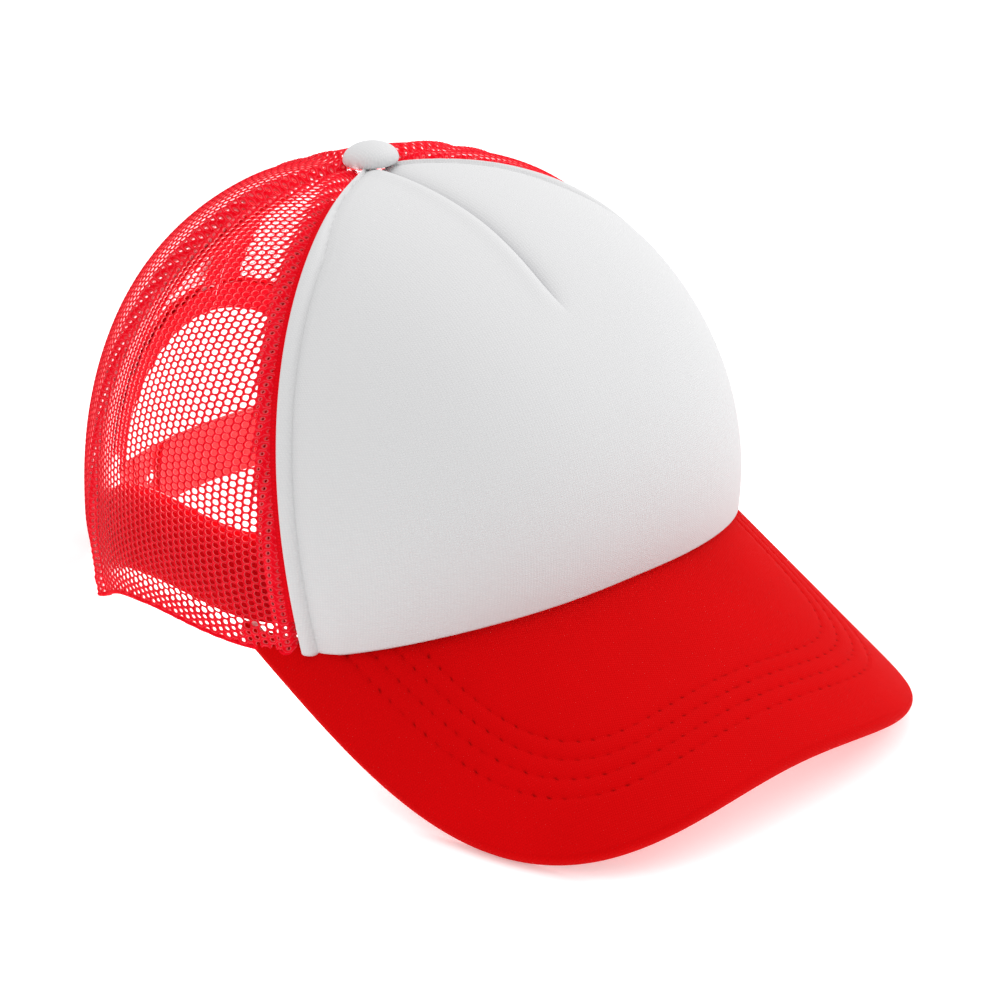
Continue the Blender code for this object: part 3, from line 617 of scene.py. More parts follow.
def net_panel(name, node, right_edge, left_edge, around_opening=False, swelling=1.0,
              front_side=0):
    """Real net: every hole is a ring of yarn; beside seams and hem the doubled net closes up."""
    plan = PanelPlan(right_edge, left_edge)
    border, hole, even, odd = net_cell()
    widest = plan.half(plan.heights)[0].max()
    columns = int(widest / NET_COLUMN) + 2
    rows = int(plan.top / NET_ROW) + 2
    k, j = np.meshgrid(np.arange(-columns, columns + 1), np.arange(rows), indexing="ij")
    is_odd = (k % 2 != 0).ravel()
    centre_across = (k * NET_COLUMN).ravel()
    centre_up = (j * NET_ROW + NET_ROW / 2 * (k % 2 != 0)).ravel()
    half_width, _ = plan.half(np.clip(centre_up, 0, plan.top))
    kept = np.abs(centre_across) < half_width + NET_COLUMN * 0.45
    kept &= centre_up < plan.top + NET_ROW * 0.4
    if around_opening:
        spot = plan.where(centre_across, np.clip(centre_up, 0, plan.top))
        clear = 1.9 * MM
        inside = (spot[:, 0] / (OPENING_HALF_WIDTH + clear)) ** 2
        inside += (spot[:, 2] / (OPENING_HEIGHT + clear)) ** 2
        kept &= (inside > 1) | (spot[:, 1] < 0)
    is_odd, half_width = is_odd[kept], half_width[kept]
    centre = np.stack([centre_across[kept], centre_up[kept]], axis=-1)

    beside = half_width - np.abs(centre[:, 0])
    open_share = smooth((beside - STRIP_WIDTH + 1.4 * MM) / (1.6 * MM))
    hem = smooth((centre[:, 1] - HEM_WIDTH) / (1.5 * MM))
    wide = np.minimum(0.26 + 0.74 * open_share, 0.58 + 0.42 * hem)
    tall = np.minimum(0.50 + 0.50 * open_share, 0.62 + 0.38 * hem)
    gathered = 0.4 + 0.6 * smooth((plan.top - centre[:, 1]) / (10 * MM))
    size = np.stack([wide, tall], axis=-1) * gathered[:, None]
    shaking = np.random.default_rng(7).normal(0, UNEVENNESS, (len(centre), BORDER, 2))

    outer = centre[:, None] + border[None]
    inner = centre[:, None] + hole[None] * size[:, None] * (1 + shaking)
    mid = outer * 0.42 + inner * 0.58

    def settle(flat, inset):
        """Keeps points inside the seams and the rim, and lets the knit drift a little."""
        across, up = flat[..., 0], flat[..., 1]
        across = across + 0.22 * MM * np.sin(up / (9 * MM) + across / (23 * MM))
        up = up + 0.25 * MM * np.sin(across / (7 * MM) + up / (29 * MM))
        up = np.clip(up, inset * 0.6, plan.top - inset * 0.6)
        limit = plan.half(up)[0] - inset
        return np.clip(across, -limit, limit), up

    layers = []
    for flat, inset, sink in ((outer, 0.0, 0.0), (mid, 0.12 * MM, 0.06 * MM),
                              (inner, 0.3 * MM, 0.32 * MM), (outer, 0.0, 0.62 * MM)):
        across, up = settle(flat, inset)
        lift = net_lift(plan, across, up, swelling, front_side) - sink
        layers.append((across, up, lift))
    # Where the fine thread runs: it is raised a little, and its colour gets a painted highlight.
    thread_and_highlight = np.where(is_odd[:, None], odd[None], even[None])
    top_across, top_up, top_lift = layers[0]
    layers[0] = (top_across, top_up, top_lift + 0.10 * MM * thread_and_highlight)

    cells = len(centre)
    points = np.concatenate([plan.where(*layer) for layer in layers], axis=1).reshape(-1, 3)
    lay = np.concatenate([np.stack(layer[:2], axis=-1) for layer in layers], axis=1).reshape(-1, 2)
    marks = np.zeros((cells, 4, BORDER))
    marks[:, 0] = thread_and_highlight
    # Painted light: marks the inner face fully and the hole walls by a quarter, to be tinted pale.
    inside = np.zeros((cells, 4, BORDER))
    inside[:, 2:] = (0.25,), (1,)
    ring = np.arange(BORDER)
    following = (ring + 1) % BORDER
    quads = []
    for a, b in ((0, 1), (1, 2), (2, 3)):
        quads.append(np.stack([a * BORDER + ring, a * BORDER + following,
                               b * BORDER + following, b * BORDER + ring], -1))
    quads = np.concatenate(quads)
    faces = (np.arange(cells)[:, None, None] * 4 * BORDER + quads[None]).reshape(-1, 4)
    obj = new_piece(name, points, faces.tolist(), net_red.material, lay,
                    {"thread_and_highlight": marks.ravel(), "inner_side": inside.ravel()})
    tidy_mesh(obj, 0.04 * MM)
    fold_edges(obj, plan, around_opening, swelling, front_side)
    cut = plan.area()
    if around_opening:
        cut -= math.pi / 4 * OPENING_HALF_WIDTH * OPENING_HEIGHT
    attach(obj, "crown")
    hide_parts(node)


def tidy_mesh(obj, distance):
    with mesh_edit(obj) as bm:
        bmesh.ops.remove_doubles(bm, verts=bm.verts, dist=distance)
        bmesh.ops.dissolve_degenerate(bm, edges=bm.edges, dist=distance / 4)


def fold_edges(obj, plan, around_opening, swelling, front_side):
    """The turned edges along both seams and the rim, as flattened rolls joined to the net."""
    rolls = []
    up = np.linspace(0.6 * MM, plan.top, 110)
    for sign in (-1, 1):
        across = sign * (plan.half(up)[0] - 0.35 * MM)
        roll = plan.where(across, up, net_lift(plan, across, up, swelling, front_side) - 0.32 * MM)
        if around_opening:
            shape = (roll[:, 0] / (OPENING_HALF_WIDTH + 2 * MM)) ** 2
            shape += (roll[:, 2] / (OPENING_HEIGHT + 2 * MM)) ** 2
            roll = roll[(shape > 1) | (roll[:, 1] < 0)]
        rolls.append(roll)
    wide = plan.half(np.array([0.5 * MM]))[0][0]
    across = np.linspace(-wide, wide, 120)
    low = np.full_like(across, 0.45 * MM)
    rim = plan.where(across, low, net_lift(plan, across, low, swelling, front_side) - 0.42 * MM)
    if around_opening:
        rim = rim[np.abs(rim[:, 0]) > OPENING_HALF_WIDTH + 1 * MM]
    rolls.append(rim)
    with mesh_edit(obj) as bm:
        for path, radius in zip(rolls, (SEAM_ROLL, SEAM_ROLL, RIM_ROLL)):
            points, faces = tube(path, radius, 8)
            verts = [bm.verts.new(p) for p in placed(points).tolist()]
            for face in faces:
                made = bm.faces.new([verts[k] for k in face])
                made.smooth = True
        bm.normal_update()


net_panel("side_net_left", "side_mesh_left", front_seam, side_seam, front_side=-1)
net_panel("side_net_right", "side_mesh_right", mirrored(side_seam), mirrored(front_seam),
          front_side=1)
net_panel("rear_net_left", "rear_mesh_left", side_seam, rear_seam, True, 2.2)
net_panel("rear_net_right", "rear_mesh_right", mirrored(rear_seam), mirrored(side_seam), True, 2.2)


# Front panel: tricot cloth over foam, with one dart down from the button

WELT_WIDTH = 4.7 * MM
DART_RISE = 0.70


def front_lift(beside, across, rise, up):
    """The foam's swell, the rolled welt along the seams, the dart and the turned bottom edge; also
    the painted shade along the dart's fold.
    """
    taper = smooth((1.0 - rise) / 0.12) * 0.75 + 0.25
    welt = WELT_WIDTH * taper
    roll = np.sqrt(np.clip(1 - ((beside - welt / 2) / (welt / 2)) ** 2, 0, 1))
    on_welt = beside < welt
    body = 1.15 * MM * smooth((beside - welt) / (7 * MM)) * taper
    body = body + 0.75 * MM * np.sqrt(np.clip((beside - welt) / (2.2 * MM), 0, 1))
    lift = np.where(on_welt, (1.9 * MM * roll - 0.8 * MM) * (0.4 + 0.6 * taper), body - 0.8 * MM)
    edge = -1.5 * MM * (1 - smooth(beside / (0.9 * MM)))
    fade = smooth((rise - DART_RISE) / 0.10) ** 0.6
    fold = across / (1.0 * MM)
    away = np.where(fold < 0, -fold / 0.7, fold)
    dart = -2.4 * MM * fade * np.exp(-away ** 0.9 / 2.0)
    dart = dart + 0.6 * MM * fade * np.exp(-((fold + 3.5) / 3) ** 2)
    bottom = -1.6 * MM * (1 - smooth(up / (1.6 * MM))) ** 2
    # The second value is the painted shade along the dart's fold.
    return lift + edge + dart + bottom, fade * np.exp(-away / 0.7)


def front_cloth():
    edge_steps = np.concatenate([np.linspace(0, 1.2, 7), np.linspace(1.5, 5.2, 10),
                                 np.linspace(5.35, 7.4, 9), np.linspace(8.2, 14, 6)]) * MM
    middle_steps = np.concatenate([np.linspace(0, 3, 13), np.linspace(3.6, 9, 8)]) * MM
    spaces = 16
    rises = np.sin(np.linspace(0, math.radians(88.3), 132)) ** 0.83
    rises = np.concatenate([[0, 0.003, 0.007, 0.012, 0.018], rises[3:]])
    rises = np.unique(rises)
    plan = PanelPlan(mirrored(front_seam), front_seam, 0.15 * MM)
    up = np.interp(rises, plan.rises, plan.heights)
    half_width = plan.half(up)[0]
    columns = []
    for width in half_width:
        squeeze = min(1.0, width / (30 * MM))
        outer = edge_steps * squeeze
        inner = middle_steps * squeeze
        between = np.linspace(width - outer[-1], inner[-1], spaces + 2)[1:-1]
        left = np.concatenate([width - outer, between, inner[::-1][:-1]])
        columns.append(np.concatenate([-left, [0], left[::-1]]))
    across = np.array(columns).T
    beside = half_width[None] - np.abs(across)
    rise_grid = np.broadcast_to(rises[None], across.shape)
    up_grid = np.broadcast_to(up[None], across.shape)
    lift, crease_shade = front_lift(beside, across, rise_grid, up_grid)
    slack = 0.18 * MM * np.sin(across / (13 * MM) + 0.6) * np.sin(up_grid / (15 * MM))
    lift = lift + slack * smooth(beside / (12 * MM))
    points = plan.where(across, up_grid, lift)
    lay = np.stack([across, up_grid], axis=-1).reshape(-1, 2)
    obj = cloth_sheet("front_cloth", points, knit_white.material, FACE_THICKNESS,
                      {"crease_shade": crease_shade}, lay)
    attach(obj, "crown")
    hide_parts("front_panel_face")
    cut = plan.area()
    width = 2 * float(half_width.max())
    return plan


front_plan = front_cloth()


def front_foam():
    """The foam behind the front cloth, cut back from the seams, soft at its edges."""
    rises = np.sin(np.linspace(math.radians(4), math.radians(86.5), 60)) ** 0.83
    up = np.interp(rises, front_plan.rises, front_plan.heights)
    up[0] = 4.2 * MM
    half_width = np.maximum(front_plan.half(up)[0] - FOAM_SETBACK - 0.4 * MM, 0.5 * MM)
    share = np.sin(np.linspace(-math.pi / 2, math.pi / 2, 49))
    across = share[:, None] * half_width[None]
    up_grid = np.broadcast_to(up[None], across.shape)
    rim = np.minimum(half_width[None] - np.abs(across), up_grid - up[0])
    rim = np.minimum(rim, up[-1] - up_grid)
    swell = np.sqrt(np.clip(1 - (1 - np.clip(rim / (2.5 * MM), 0, 1)) ** 2, 0, 1))
    middle = FOAM_DEPTH + FOAM_THICKNESS / 2 + 0.1 * MM
    half = (0.25 + 0.85 * swell) * MM
    outer = front_plan.where(across, up_grid, -(middle - half))
    inner = front_plan.where(across, up_grid, -(middle + half))
    rows = outer.shape[1]
    count = outer.shape[0] * rows
    faces = grid_faces(outer.shape[0], rows)
    back = [tuple(count + k for k in face[::-1]) for face in faces]
    edge = [i * rows for i in range(outer.shape[0])]
    edge += [(outer.shape[0] - 1) * rows + j for j in range(1, rows)]
    edge += [i * rows + rows - 1 for i in range(outer.shape[0] - 2, -1, -1)]
    edge += [j for j in range(rows - 2, 0, -1)]
    walls = [(a, count + a, count + b, b) for a, b in zip(edge, edge[1:] + edge[:1])]
    points = np.concatenate([outer.reshape(-1, 3), inner.reshape(-1, 3)])
    obj = new_piece("front_foam_pad", points, faces + back + walls, foam_white.material)
    turn_faces_out(obj)
    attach(obj, "crown")
    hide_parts("front_panel_foam")


front_foam()


# Seam tapes

def seam_tape(name, seam, sign, reaches, bottom):
    """A tape over a seam inside the crown; its edges close in under the button."""
    start = float(rise_of(bottom, seam(np.array(0.0))))
    rise = start + (0.982 - start) * np.sin(np.linspace(0, math.pi / 2, 90))
    narrow = 1 - 0.35 * smooth((rise - 0.9) / 0.082)
    share = np.linspace(0, 1, 15)
    across = (reaches[0] + (reaches[1] - reaches[0]) * share)[:, None] * narrow[None]
    angle = seam(rise)[None] + across / ring_radius(seam(rise), rise)[None]
    ribs = np.cos(share * math.pi * 4)[:, None]
    hollow = 0.14 * MM * ribs
    pucker = 0.06 * MM * np.sin(np.linspace(0, 300, 90))[None] * ribs
    depth = TAPE_DEPTH + 0.15 * MM + hollow + pucker
    points = crown_point(angle, np.broadcast_to(rise[None], angle.shape), depth)
    if sign < 0:
        points = points[::-1] * np.array([-1, 1, 1])
    obj = cloth_sheet(name.replace("_tape", "_strip"), points, tape_red.material,
                      TAPE_THICKNESS * 0.7)
    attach(obj, "crown")
    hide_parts(name)


for side, sign in (("left", 1), ("right", -1)):
    seam_tape(f"front_seam_tape_{side}", front_seam, sign, (-4.95 * MM, 6.5 * MM), 9 * MM)
    seam_tape(f"side_seam_tape_{side}", side_seam, sign, (-6.5 * MM, 6.5 * MM), 9 * MM)
seam_tape("rear_seam_tape", rear_seam, 1, (-6.5 * MM, 6.5 * MM),
          OPENING_HEIGHT + BINDING_WIDTH + 2 * MM)


# Sweatband

def band_depth(angle):
    behind = smooth((np.abs(angle) - FRONT_SEAM) / math.radians(14))
    return BAND_DEPTH_FRONT + (BAND_DEPTH_BACK - BAND_DEPTH_FRONT) * behind


def band_place(angle, height, inward):
    angle, height = np.broadcast_arrays(angle, height)
    return crown_point(angle, rise_of(height, angle), band_depth(angle) + inward)


def sweatband():
    """One strip folded over at its top edge and open at the bottom, where it is sewn to the rim."""
    angle = np.linspace(-BAND_END, BAND_END, 260)
    top = BAND_BOTTOM + BAND_HEIGHT
    cloth = 0.6 * MM
    low = np.linspace(BAND_BOTTOM, top - 1.7 * MM, 14)
    turn = np.linspace(0, math.pi, 11)
    middle = BAND_TOTAL / 2

    def wall(inset):
        radius = middle - inset
        fold_h = top - 1.7 * MM + radius * np.sin(turn)
        fold_d = middle - radius * np.cos(turn)
        heights = np.concatenate([low, fold_h[1:-1], low[::-1]])
        depths = np.concatenate([np.full(14, inset), fold_d[1:-1], np.full(14, BAND_TOTAL - inset)])
        return heights, depths
    outer_h, outer_d = wall(0.05 * MM)
    inner_h, inner_d = wall(cloth)
    heights = np.concatenate([outer_h, inner_h[::-1]])
    depths = np.concatenate([outer_d, inner_d[::-1]])
    a = angle[:, None]
    bulge = np.sin((heights[None] - BAND_BOTTOM) / BAND_HEIGHT * math.pi)
    wave = 0.12 * MM * np.sin(a * 31) * bulge
    stitch_row = top - 5.0 * MM
    groove = np.exp(-((heights[None] - stitch_row) / (0.9 * MM)) ** 2)
    outward = np.where(depths[None] > middle, -1, 1)
    inward = depths[None] + wave + 0.3 * MM * groove * outward
    inward = np.clip(inward, 0.02 * MM, BAND_TOTAL - 0.02 * MM)
    points = band_place(a, heights[None] + 0 * a, inward)
    inner_side = np.broadcast_to(smooth((depths - middle) / (0.5 * MM)), points.shape[:2])
    obj = closed_strip("band_cloth", points, band_red.material, {"inner_side": inner_side})
    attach(obj, "crown")
    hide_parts("sweatband")

    rows = []
    for step in np.arange(-BAND_END + 0.02, BAND_END - 0.04, 0.034):
        run = step + np.linspace(0, 0.026, 5)
        sunk = 0.28 * MM * np.abs(np.linspace(-1, 1, 5)) ** 3
        rows.append(band_place(run, np.full(5, stitch_row), BAND_TOTAL - 0.16 * MM - sunk))
    stitches = joined_tubes("band_stitches", rows, 0.2 * MM, stitch_red.material)
    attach(stitches, "crown")


sweatband()


def band_interlining():
    """The soft strip inside the sweatband."""
    angle = np.linspace(-math.radians(52), math.radians(52), 90)[:, None]
    turn = np.linspace(0, 2 * math.pi, 24, endpoint=False)[None]
    middle, half = (BAND_BOTTOM * 2 + BAND_HEIGHT) / 2, BAND_HEIGHT / 2 - 2.4 * MM
    height = middle + half * np.sign(np.cos(turn)) * np.abs(np.cos(turn)) ** 0.35
    inward = 1.65 * MM + 0.5 * MM * np.sign(np.sin(turn)) * np.abs(np.sin(turn)) ** 0.5
    points = band_place(angle + 0 * turn, height + 0 * angle, inward + 0 * angle)
    obj = closed_strip("band_padding", points, foam_white.material)
    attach(obj, "crown")
    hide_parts("sweatband_interlining")


band_interlining()


def care_label():
    """A blank folded label hanging from the sweatband's top edge."""
    centre = math.radians(100)
    half = 13 * MM / float(reach(centre))
    angle = np.linspace(centre - half, centre + half, 24)[:, None]
    height = np.linspace(BAND_BOTTOM + 4 * MM, BAND_BOTTOM + BAND_HEIGHT - 1 * MM, 30)[None]
    share = (height - height.min()) / (height.max() - height.min())
    curl = 0.5 * MM * (1 - share) ** 2 + 0.15 * MM * np.sin(share * 9 + angle * 14)
    points = band_place(angle + 0 * height, height + 0 * angle, BAND_TOTAL + 0.2 * MM + curl)
    obj = cloth_sheet("blank_label", points, label_white.material, 0.3 * MM)
    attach(obj, "crown")
    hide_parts("care_label")


care_label()


# Peak

ROW_SETBACKS = np.array([11.6, 15.6, 19.6, 23.5]) * MM
ROW_AHEAD = 1.8 * MM
STITCH = 3.9 * MM
COLUMNS = 340


def row_line(turn, setback):
    """The peak's outline drawn in, a little more in front than at the sides."""
    s, c = np.sin(turn), np.maximum(np.cos(turn), 0)
    ahead = setback + ROW_AHEAD * np.clip(setback / (10 * MM), 0, 1)
    squarer = 50 * np.clip(setback, 0, 26 * MM)
    x = (PEAK_HALF_WIDTH - setback) * np.sign(s) * np.abs(s) ** (2 / (PEAK_SIDE_POWER + squarer))
    y = PEAK_ROOT_Y - (PEAK_LENGTH - ahead) * c ** (2 / (PEAK_FRONT_POWER + squarer))
    return x, y


def even_turns(count):
    """Turns whose points lie evenly along the outline."""
    fine = np.linspace(-math.pi / 2, math.pi / 2, 6001)
    x, y = row_line(fine, 14 * MM)
    run = run_along(np.hypot(np.diff(x), np.diff(y)))
    return np.interp(np.linspace(0, run[-1], count), run, fine)


def under_crown(x, y):
    """Where a column of the peak that has come to (x, y) ends inside the crown."""
    angle = np.clip(np.arctan2(x, -y), -PEAK_END, PEAK_END)
    ends = crown_point(angle, 0 * angle, PEAK_TUCK)
    return ends[:, 0], ends[:, 1]


def room_before_crown(turn):
    """How far a ring can be drawn in before it lies inside the crown."""
    steps = np.linspace(2 * MM, 90 * MM, 400)[:, None]
    x, y = row_line(turn[None], steps)
    inside = np.hypot(x, y) < ring_radius(np.arctan2(x, -y), 0) - 2.5 * MM
    return np.where(inside.any(axis=0), steps[inside.argmax(axis=0), 0], 90 * MM)


def sewn_lines():
    """Every row of stitching as points along it, with the distance run."""
    lines = []
    fine = np.linspace(-math.pi / 2 + 1e-4, math.pi / 2 - 1e-4, 4000)
    for setback in ROW_SETBACKS:
        x, y = row_line(fine, setback)
        angle = np.arctan2(x, -y)
        rim = crown_face(angle, 0)
        outside = np.hypot(x, y) > np.hypot(rim[:, 0], rim[:, 1]) - 1.5 * MM
        x, y = x[outside], y[outside]
        run = run_along(np.hypot(np.diff(x), np.diff(y)))
        lines.append((x, y, run))
    return lines


SEWN = sewn_lines()


def needle_holes():
    spots = []
    for n, (x, y, run) in enumerate(SEWN):
        at = np.arange(1.0 * MM + n * 1.3 * MM, run[-1], STITCH)
        spots.append(np.stack([np.interp(at, run, x), np.interp(at, run, y)], axis=-1))
    return spots


HOLES = needle_holes()


def sewn_relief(x, y, setback):
    """Grooves along the rows, dimples at the needle holes, and the painted shade that darkens the
    cloth round each needle hole.
    """
    sink = np.zeros_like(x)
    for row in ROW_SETBACKS:
        sink += 0.34 * MM * np.exp(-((setback - row) / (0.75 * MM)) ** 2)
    puff = 0.16 * MM * np.exp(-((setback - 17.5 * MM) / (9 * MM)) ** 4)
    spots = np.concatenate(HOLES)
    flat = np.stack([x.ravel(), y.ravel()], axis=-1)
    near = np.full(len(flat), 1.0)
    for start in range(0, len(flat), 4000):
        part = flat[start:start + 4000]
        gap = ((part[:, None] - spots[None]) ** 2).sum(axis=-1)
        near[start:start + 4000] = np.sqrt(gap.min(axis=1))
    near = near.reshape(x.shape)
    sink += 0.22 * MM * np.exp(-(near / (0.45 * MM)) ** 2)
    # Painted shade: how much the cloth is darkened round each needle hole.
    dark = 0.8 * np.exp(-(near / (0.33 * MM)) ** 2)
    return sink - puff, dark


def peak_side(columns):
    """The grid of the top or under cloth: rings follow the edge, then run in under the crown."""
    turn = even_turns(columns)
    rings = [0.9, 1.5, 2.3, 3.4, 5, 7, 9, 10.6]
    for row in ROW_SETBACKS / MM:
        rings = np.concatenate([rings, row + np.array([-0.95, -0.45, 0, 0.45, 0.95])])
    rings = np.sort(np.concatenate([rings, [13.6, 17.6, 21.5, 26, 28, 31]])) * MM
    room = room_before_crown(turn)
    xs, ys, backs = [], [], []
    for setback in rings:
        soft = 0.7 * room
        past = np.maximum(setback - soft, 0) / (room - soft)
        drawn_in = np.minimum(setback, soft) + (room - soft) * (1 - np.exp(-past))
        x, y = row_line(turn, drawn_in)
        xs.append(x)
        ys.append(y)
        backs.append(drawn_in)
    last_x, last_y = xs[-1], ys[-1]
    end_x, end_y = under_crown(last_x, last_y)
    for share in np.linspace(0, 1, 16)[1:]:
        xs.append(last_x + (end_x - last_x) * share)
        ys.append(last_y + (end_y - last_y) * share)
        backs.append(np.full(columns, 60 * MM))
    return np.array(xs).T, np.array(ys).T, np.array(backs).T


def peak_cloths():
    x, y, setback = peak_side(COLUMNS)
    sink, dark = sewn_relief(x, y, setback)
    turn = even_turns(COLUMNS)
    half = PEAK_THICKNESS / 2

    def edge_round(first, last, steps):
        """The cloth going round the board's edge, from one angle to another."""
        xs, depths = [], []
        for angle in np.radians(np.linspace(first, last, steps)):
            out = half * np.sin(angle)
            ex, ey = row_line(turn, 0.9 * MM)
            ox, oy = row_line(turn, 0.0)
            share = out / half
            xs.append((ex + (ox - ex) * share, ey + (oy - ey) * share))
            depths.append(np.full(COLUMNS, half - half * np.cos(angle)))
        px = np.array([p[0] for p in xs]).T
        py = np.array([p[1] for p in xs]).T
        return peak_surface(px, py, np.array(depths).T)

    top = peak_surface(x, y, sink)
    lip = edge_round(12, 168, 11)
    whole = np.concatenate([top[:, ::-1], lip], axis=1)
    # The painted shade round the needle holes, for the top cloth.
    mark = np.concatenate([dark[:, ::-1], np.zeros(lip.shape[:2])], axis=1)
    edge_x, edge_y = row_line(turn, 0)
    flat_x = np.concatenate([x[:, ::-1], np.tile(edge_x[:, None], (1, 11))], axis=1)
    turned_down = edge_y[:, None] - np.linspace(0, 5 * MM, 11)
    flat_y = np.concatenate([y[:, ::-1], turned_down], axis=1)
    lay = np.stack([flat_x, flat_y], axis=-1).reshape(-1, 2)
    obj = cloth_sheet("peak_top_cloth", whole, peak_red.material, 0.55 * MM,
                      {"needle_hole_shade": mark}, lay)
    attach(obj, "crown")
    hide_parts("peak_top_cover")

    keep = setback[0] > 1.0 * MM
    ux, uy, us, ud = x[:, keep], y[:, keep], sink[:, keep], dark[:, keep]
    under = peak_surface(ux, uy, PEAK_THICKNESS - us - 0.12 * MM)
    obj = cloth_sheet("peak_under_cloth", under, peak_red.material, 0.5 * MM, {"needle_hole_shade": ud},
                      np.stack([ux, uy], axis=-1).reshape(-1, 2))
    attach(obj, "crown")
    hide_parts("peak_under_cover")


peak_cloths()


def peak_stitches(name, depth, outward):
    """Thread between the needle holes: it rises from one hole and dips into the next."""
    paths = []
    for n, (x, y, run) in enumerate(SEWN):
        starts = np.arange(1.0 * MM + n * 1.3 * MM, run[-1] - STITCH, STITCH)
        for start in starts:
            at = start + STITCH * np.array([0.07, 0.16, 0.34, 0.66, 0.84, 0.93])
            sunk = np.array([0.42, 0.20, 0.09, 0.09, 0.20, 0.42]) * MM
            px, py = np.interp(at, run, x), np.interp(at, run, y)
            paths.append(peak_surface(px, py, depth + outward * (sunk + 0.12 * MM)))
    obj = joined_tubes(name, paths, 0.19 * MM, stitch_red.material, 5)
    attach(obj, "crown")


peak_stitches("peak_top_stitches", 0.0, 1)
peak_stitches("peak_under_stitches", PEAK_THICKNESS, -1)


# Rear opening

def opening_binding():
    """Tape folded over the opening's cut edge, with two lines of stitching."""
    turn = np.linspace(0, math.pi, 170)[:, None]
    inside = 1.45 * MM
    fold = np.linspace(-math.pi / 2, math.pi / 2, 9)
    middle = (inside - 1.1 * MM) / 2 + 0.27 * MM
    half = (inside + 1.1 * MM) / 2 + 0.27 * MM
    outs, depths = [], []
    for radius, direction in ((half, 1), (half - 0.5 * MM, -1)):
        flat = np.linspace(BINDING_WIDTH, 0.6 * MM, 9)
        crown_side = np.full(9, middle - radius)
        inner_side = np.full(9, middle + radius)
        outs_loop = np.concatenate([flat, 0.6 * MM - radius * np.cos(fold)[1:-1], flat[::-1]])
        folded = (middle + radius * np.sin(fold))[1:-1]
        depth_loop = np.concatenate([crown_side, folded, inner_side])
        outs.append(outs_loop[::direction])
        depths.append(depth_loop[::direction])
    out, depth = np.concatenate(outs), np.concatenate(depths)
    puff = 0.12 * MM * np.sin(np.clip(out / BINDING_WIDTH, 0, 1) * math.pi)
    puff = puff * np.sign(middle - depth)
    wave = 0.05 * MM * np.sin(turn * 90)
    points = opening_edge(turn + 0 * out[None], out[None] + 0 * turn,
                          depth[None] - puff[None] + wave)
    obj = closed_strip("binding_cloth", points, binding_red.material)
    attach(obj, "crown")
    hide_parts("opening_binding")
    paths = []
    for out_at in (6.6 * MM, 1.2 * MM):
        for start in np.arange(0.02, math.pi - 0.06, 0.052):
            at = start + np.linspace(0, 0.04, 5)
            sunk = 0.25 * MM * np.abs(np.linspace(-1, 1, 5)) ** 3
            paths.append(opening_edge(at, np.full(5, out_at), middle - half - 0.1 * MM + sunk))
    stitches = joined_tubes("binding_stitches", paths, 0.18 * MM, stitch_red.material, 5)
    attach(stitches, "crown")


opening_binding()


# Button

def button():
    """Cloth drawn over the button's shell, gathered underneath."""
    base = CROWN_HEIGHT + 0.1 * MM
    spokes = 96
    turn = np.linspace(0, 2 * math.pi, spokes, endpoint=False)
    height = 6.2 * MM
    radius = 7.6 * MM
    arc = np.radians(np.linspace(2, 90, 22))
    rim = 1.6 * MM
    profile = [(radius * math.sin(a), base + rim + (height - rim) * math.cos(a)) for a in arc]
    for a in np.radians(np.linspace(15, 90, 6)):
        profile.append((radius - 1.4 * MM * (1 - math.cos(a)), base + rim * (1 - math.sin(a))))
    for r in (6.2, 5.6):
        profile.append((r * MM, base))
    profile = np.array(profile)
    gather = np.clip((profile[:, 0] / radius) ** 6, 0, 1) * (profile[:, 1] < base + 1.7 * MM)
    ripple = 0.09 * MM * np.sin(turn * 17)[:, None] * gather[None]
    r = profile[None, :, 0] + ripple
    points = np.stack([r * np.sin(turn)[:, None], -r * np.cos(turn)[:, None] - 1.0 * MM,
                       np.broadcast_to(profile[None, :, 1], r.shape)], axis=-1)
    rows = points.shape[1]
    faces = []
    for i in range(spokes):
        n = (i + 1) % spokes
        for j in range(rows - 1):
            faces.append((i * rows + j, i * rows + j + 1, n * rows + j + 1, n * rows + j))
    faces.append(tuple(i * rows for i in range(spokes)))
    lay = points[..., :2].reshape(-1, 2)
    flat_points = points.reshape(-1, 3)
    obj = new_piece("button_cloth", flat_points, faces, knit_white.material, lay,
                    {"crease_shade": np.zeros(len(flat_points))})
    turn_faces_out(obj)
    thicken(obj, 0.45 * MM)
    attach(obj, "crown")
    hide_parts("button_cover")


button()


# Hard pieces keep their CAD shape and get a better surface

def dress(node, surface):
    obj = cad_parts[node]
    for slot in obj.material_slots:
        slot.material = surface


for hard_node in ("hole_strap", "stud_strap", "hole_strap_tab", "stud_strap_tab"):
    dress(hard_node, plastic_red.material)
dress("peak_board", board_white.material)
for hard_node in ("button_shell", "button_washer"):
    dress(hard_node, spun_metal.material)


# Studio

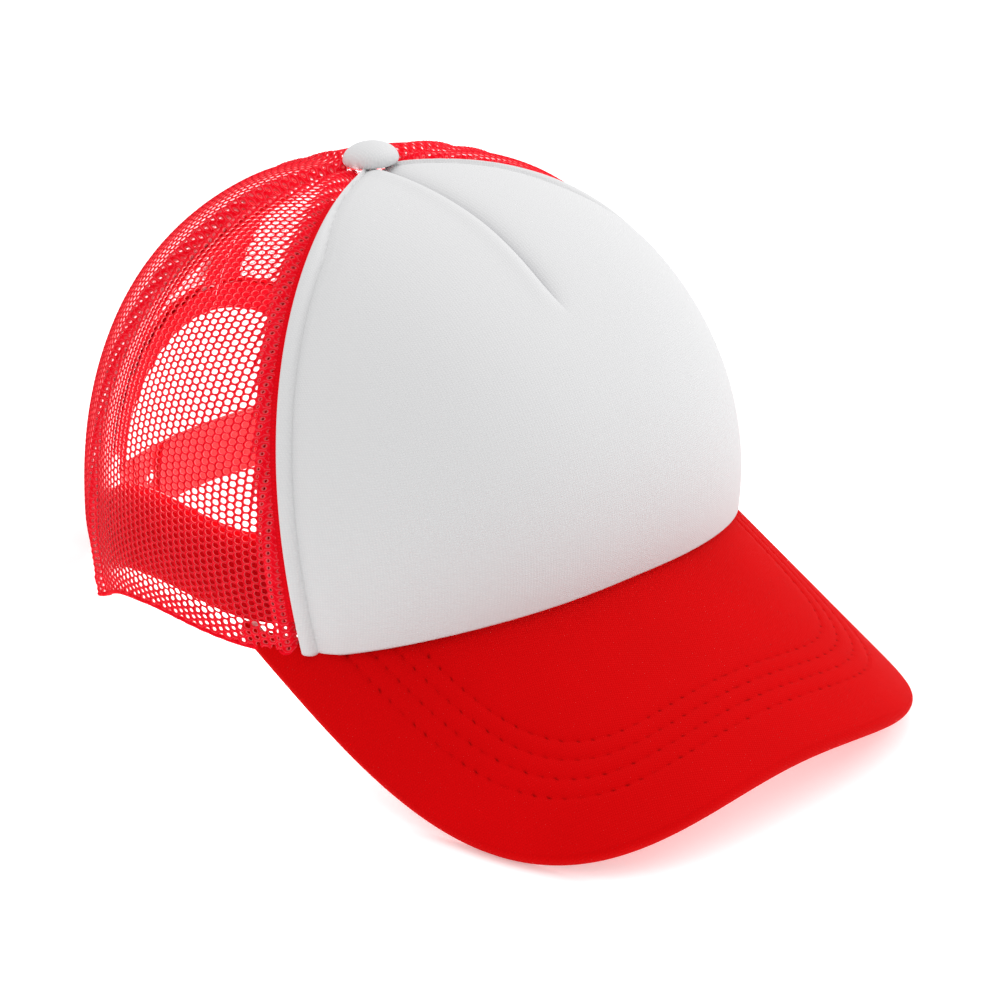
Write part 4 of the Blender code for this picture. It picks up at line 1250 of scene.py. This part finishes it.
def studio():
    floor_paint = Finish("studio_floor", (0.93, 0.93, 0.93), 0.9, specular=0.0)
    floor_paint.shader.inputs["Emission Color"].default_value = (1, 1, 1, 1)
    floor_paint.shader.inputs["Emission Strength"].default_value = 0.27
    grain = floor_paint.noise(floor_paint.solid_place(), 30, 2)
    floor_paint.tint(floor_paint.spread(grain, 0.4, 0.7, 0, 0.05), (0.9, 0.9, 0.9))
    bpy.ops.mesh.primitive_plane_add(size=30)
    floor = bpy.context.active_object
    floor.name = "studio_floor"
    floor.data.materials.append(floor_paint.material)

    world = bpy.data.worlds.new("studio")
    bpy.context.scene.world = world
    world.use_nodes = True
    world.node_tree.nodes["Background"].inputs["Color"].default_value = (1, 1, 1, 1)
    world.node_tree.nodes["Background"].inputs["Strength"].default_value = 0.84

    def panel_light(name, place, aim, size, watts):
        data = bpy.data.lights.new(name, "AREA")
        data.shape = "RECTANGLE"
        data.size, data.size_y = size
        data.energy = watts
        lamp = bpy.data.objects.new(name, data)
        lamp.location = place
        lamp.rotation_euler = (Vector(aim) - Vector(place)).to_track_quat("-Z", "Y").to_euler()
        bpy.context.scene.collection.objects.link(lamp)

    panel_light("overhead", (0.1, 0.15, 1.3), (0, 0, 0.05), (1.1, 1.1), 4.5)
    panel_light("right_fill", (1.2, -0.35, 0.75), (0, 0, 0.05), (0.8, 0.8), 6.0)

    glow = bpy.data.lights.new("light_inside", "POINT")
    glow.energy = 0.28
    glow.shadow_soft_size = 0.02
    inner_lamp = bpy.data.objects.new("light_inside", glow)
    inner_lamp.location = (-0.01, 0.01, 0.065)
    bpy.context.scene.collection.objects.link(inner_lamp)

    lens = bpy.data.cameras.new("camera")
    camera = bpy.data.objects.new("camera", lens)
    bpy.context.scene.collection.objects.link(camera)
    azimuth, elevation, roll = math.radians(-43.26), math.radians(26.83), math.radians(2.14)
    target = Vector((0.0457, 0.0392, 0.010))
    back = Vector((math.sin(azimuth) * math.cos(elevation),
                   -math.cos(azimuth) * math.cos(elevation), math.sin(elevation)))
    distance = 0.85
    camera.location = target + distance * back
    camera.rotation_euler = ((-back).to_track_quat("-Z", "Y").to_matrix()
                             @ Matrix.Rotation(roll, 3, "Z")).to_euler()
    lens.lens = 103.5
    lens.sensor_width = 36
    bpy.context.scene.camera = camera
    bpy.context.scene.view_settings.view_transform = "Standard"


studio()
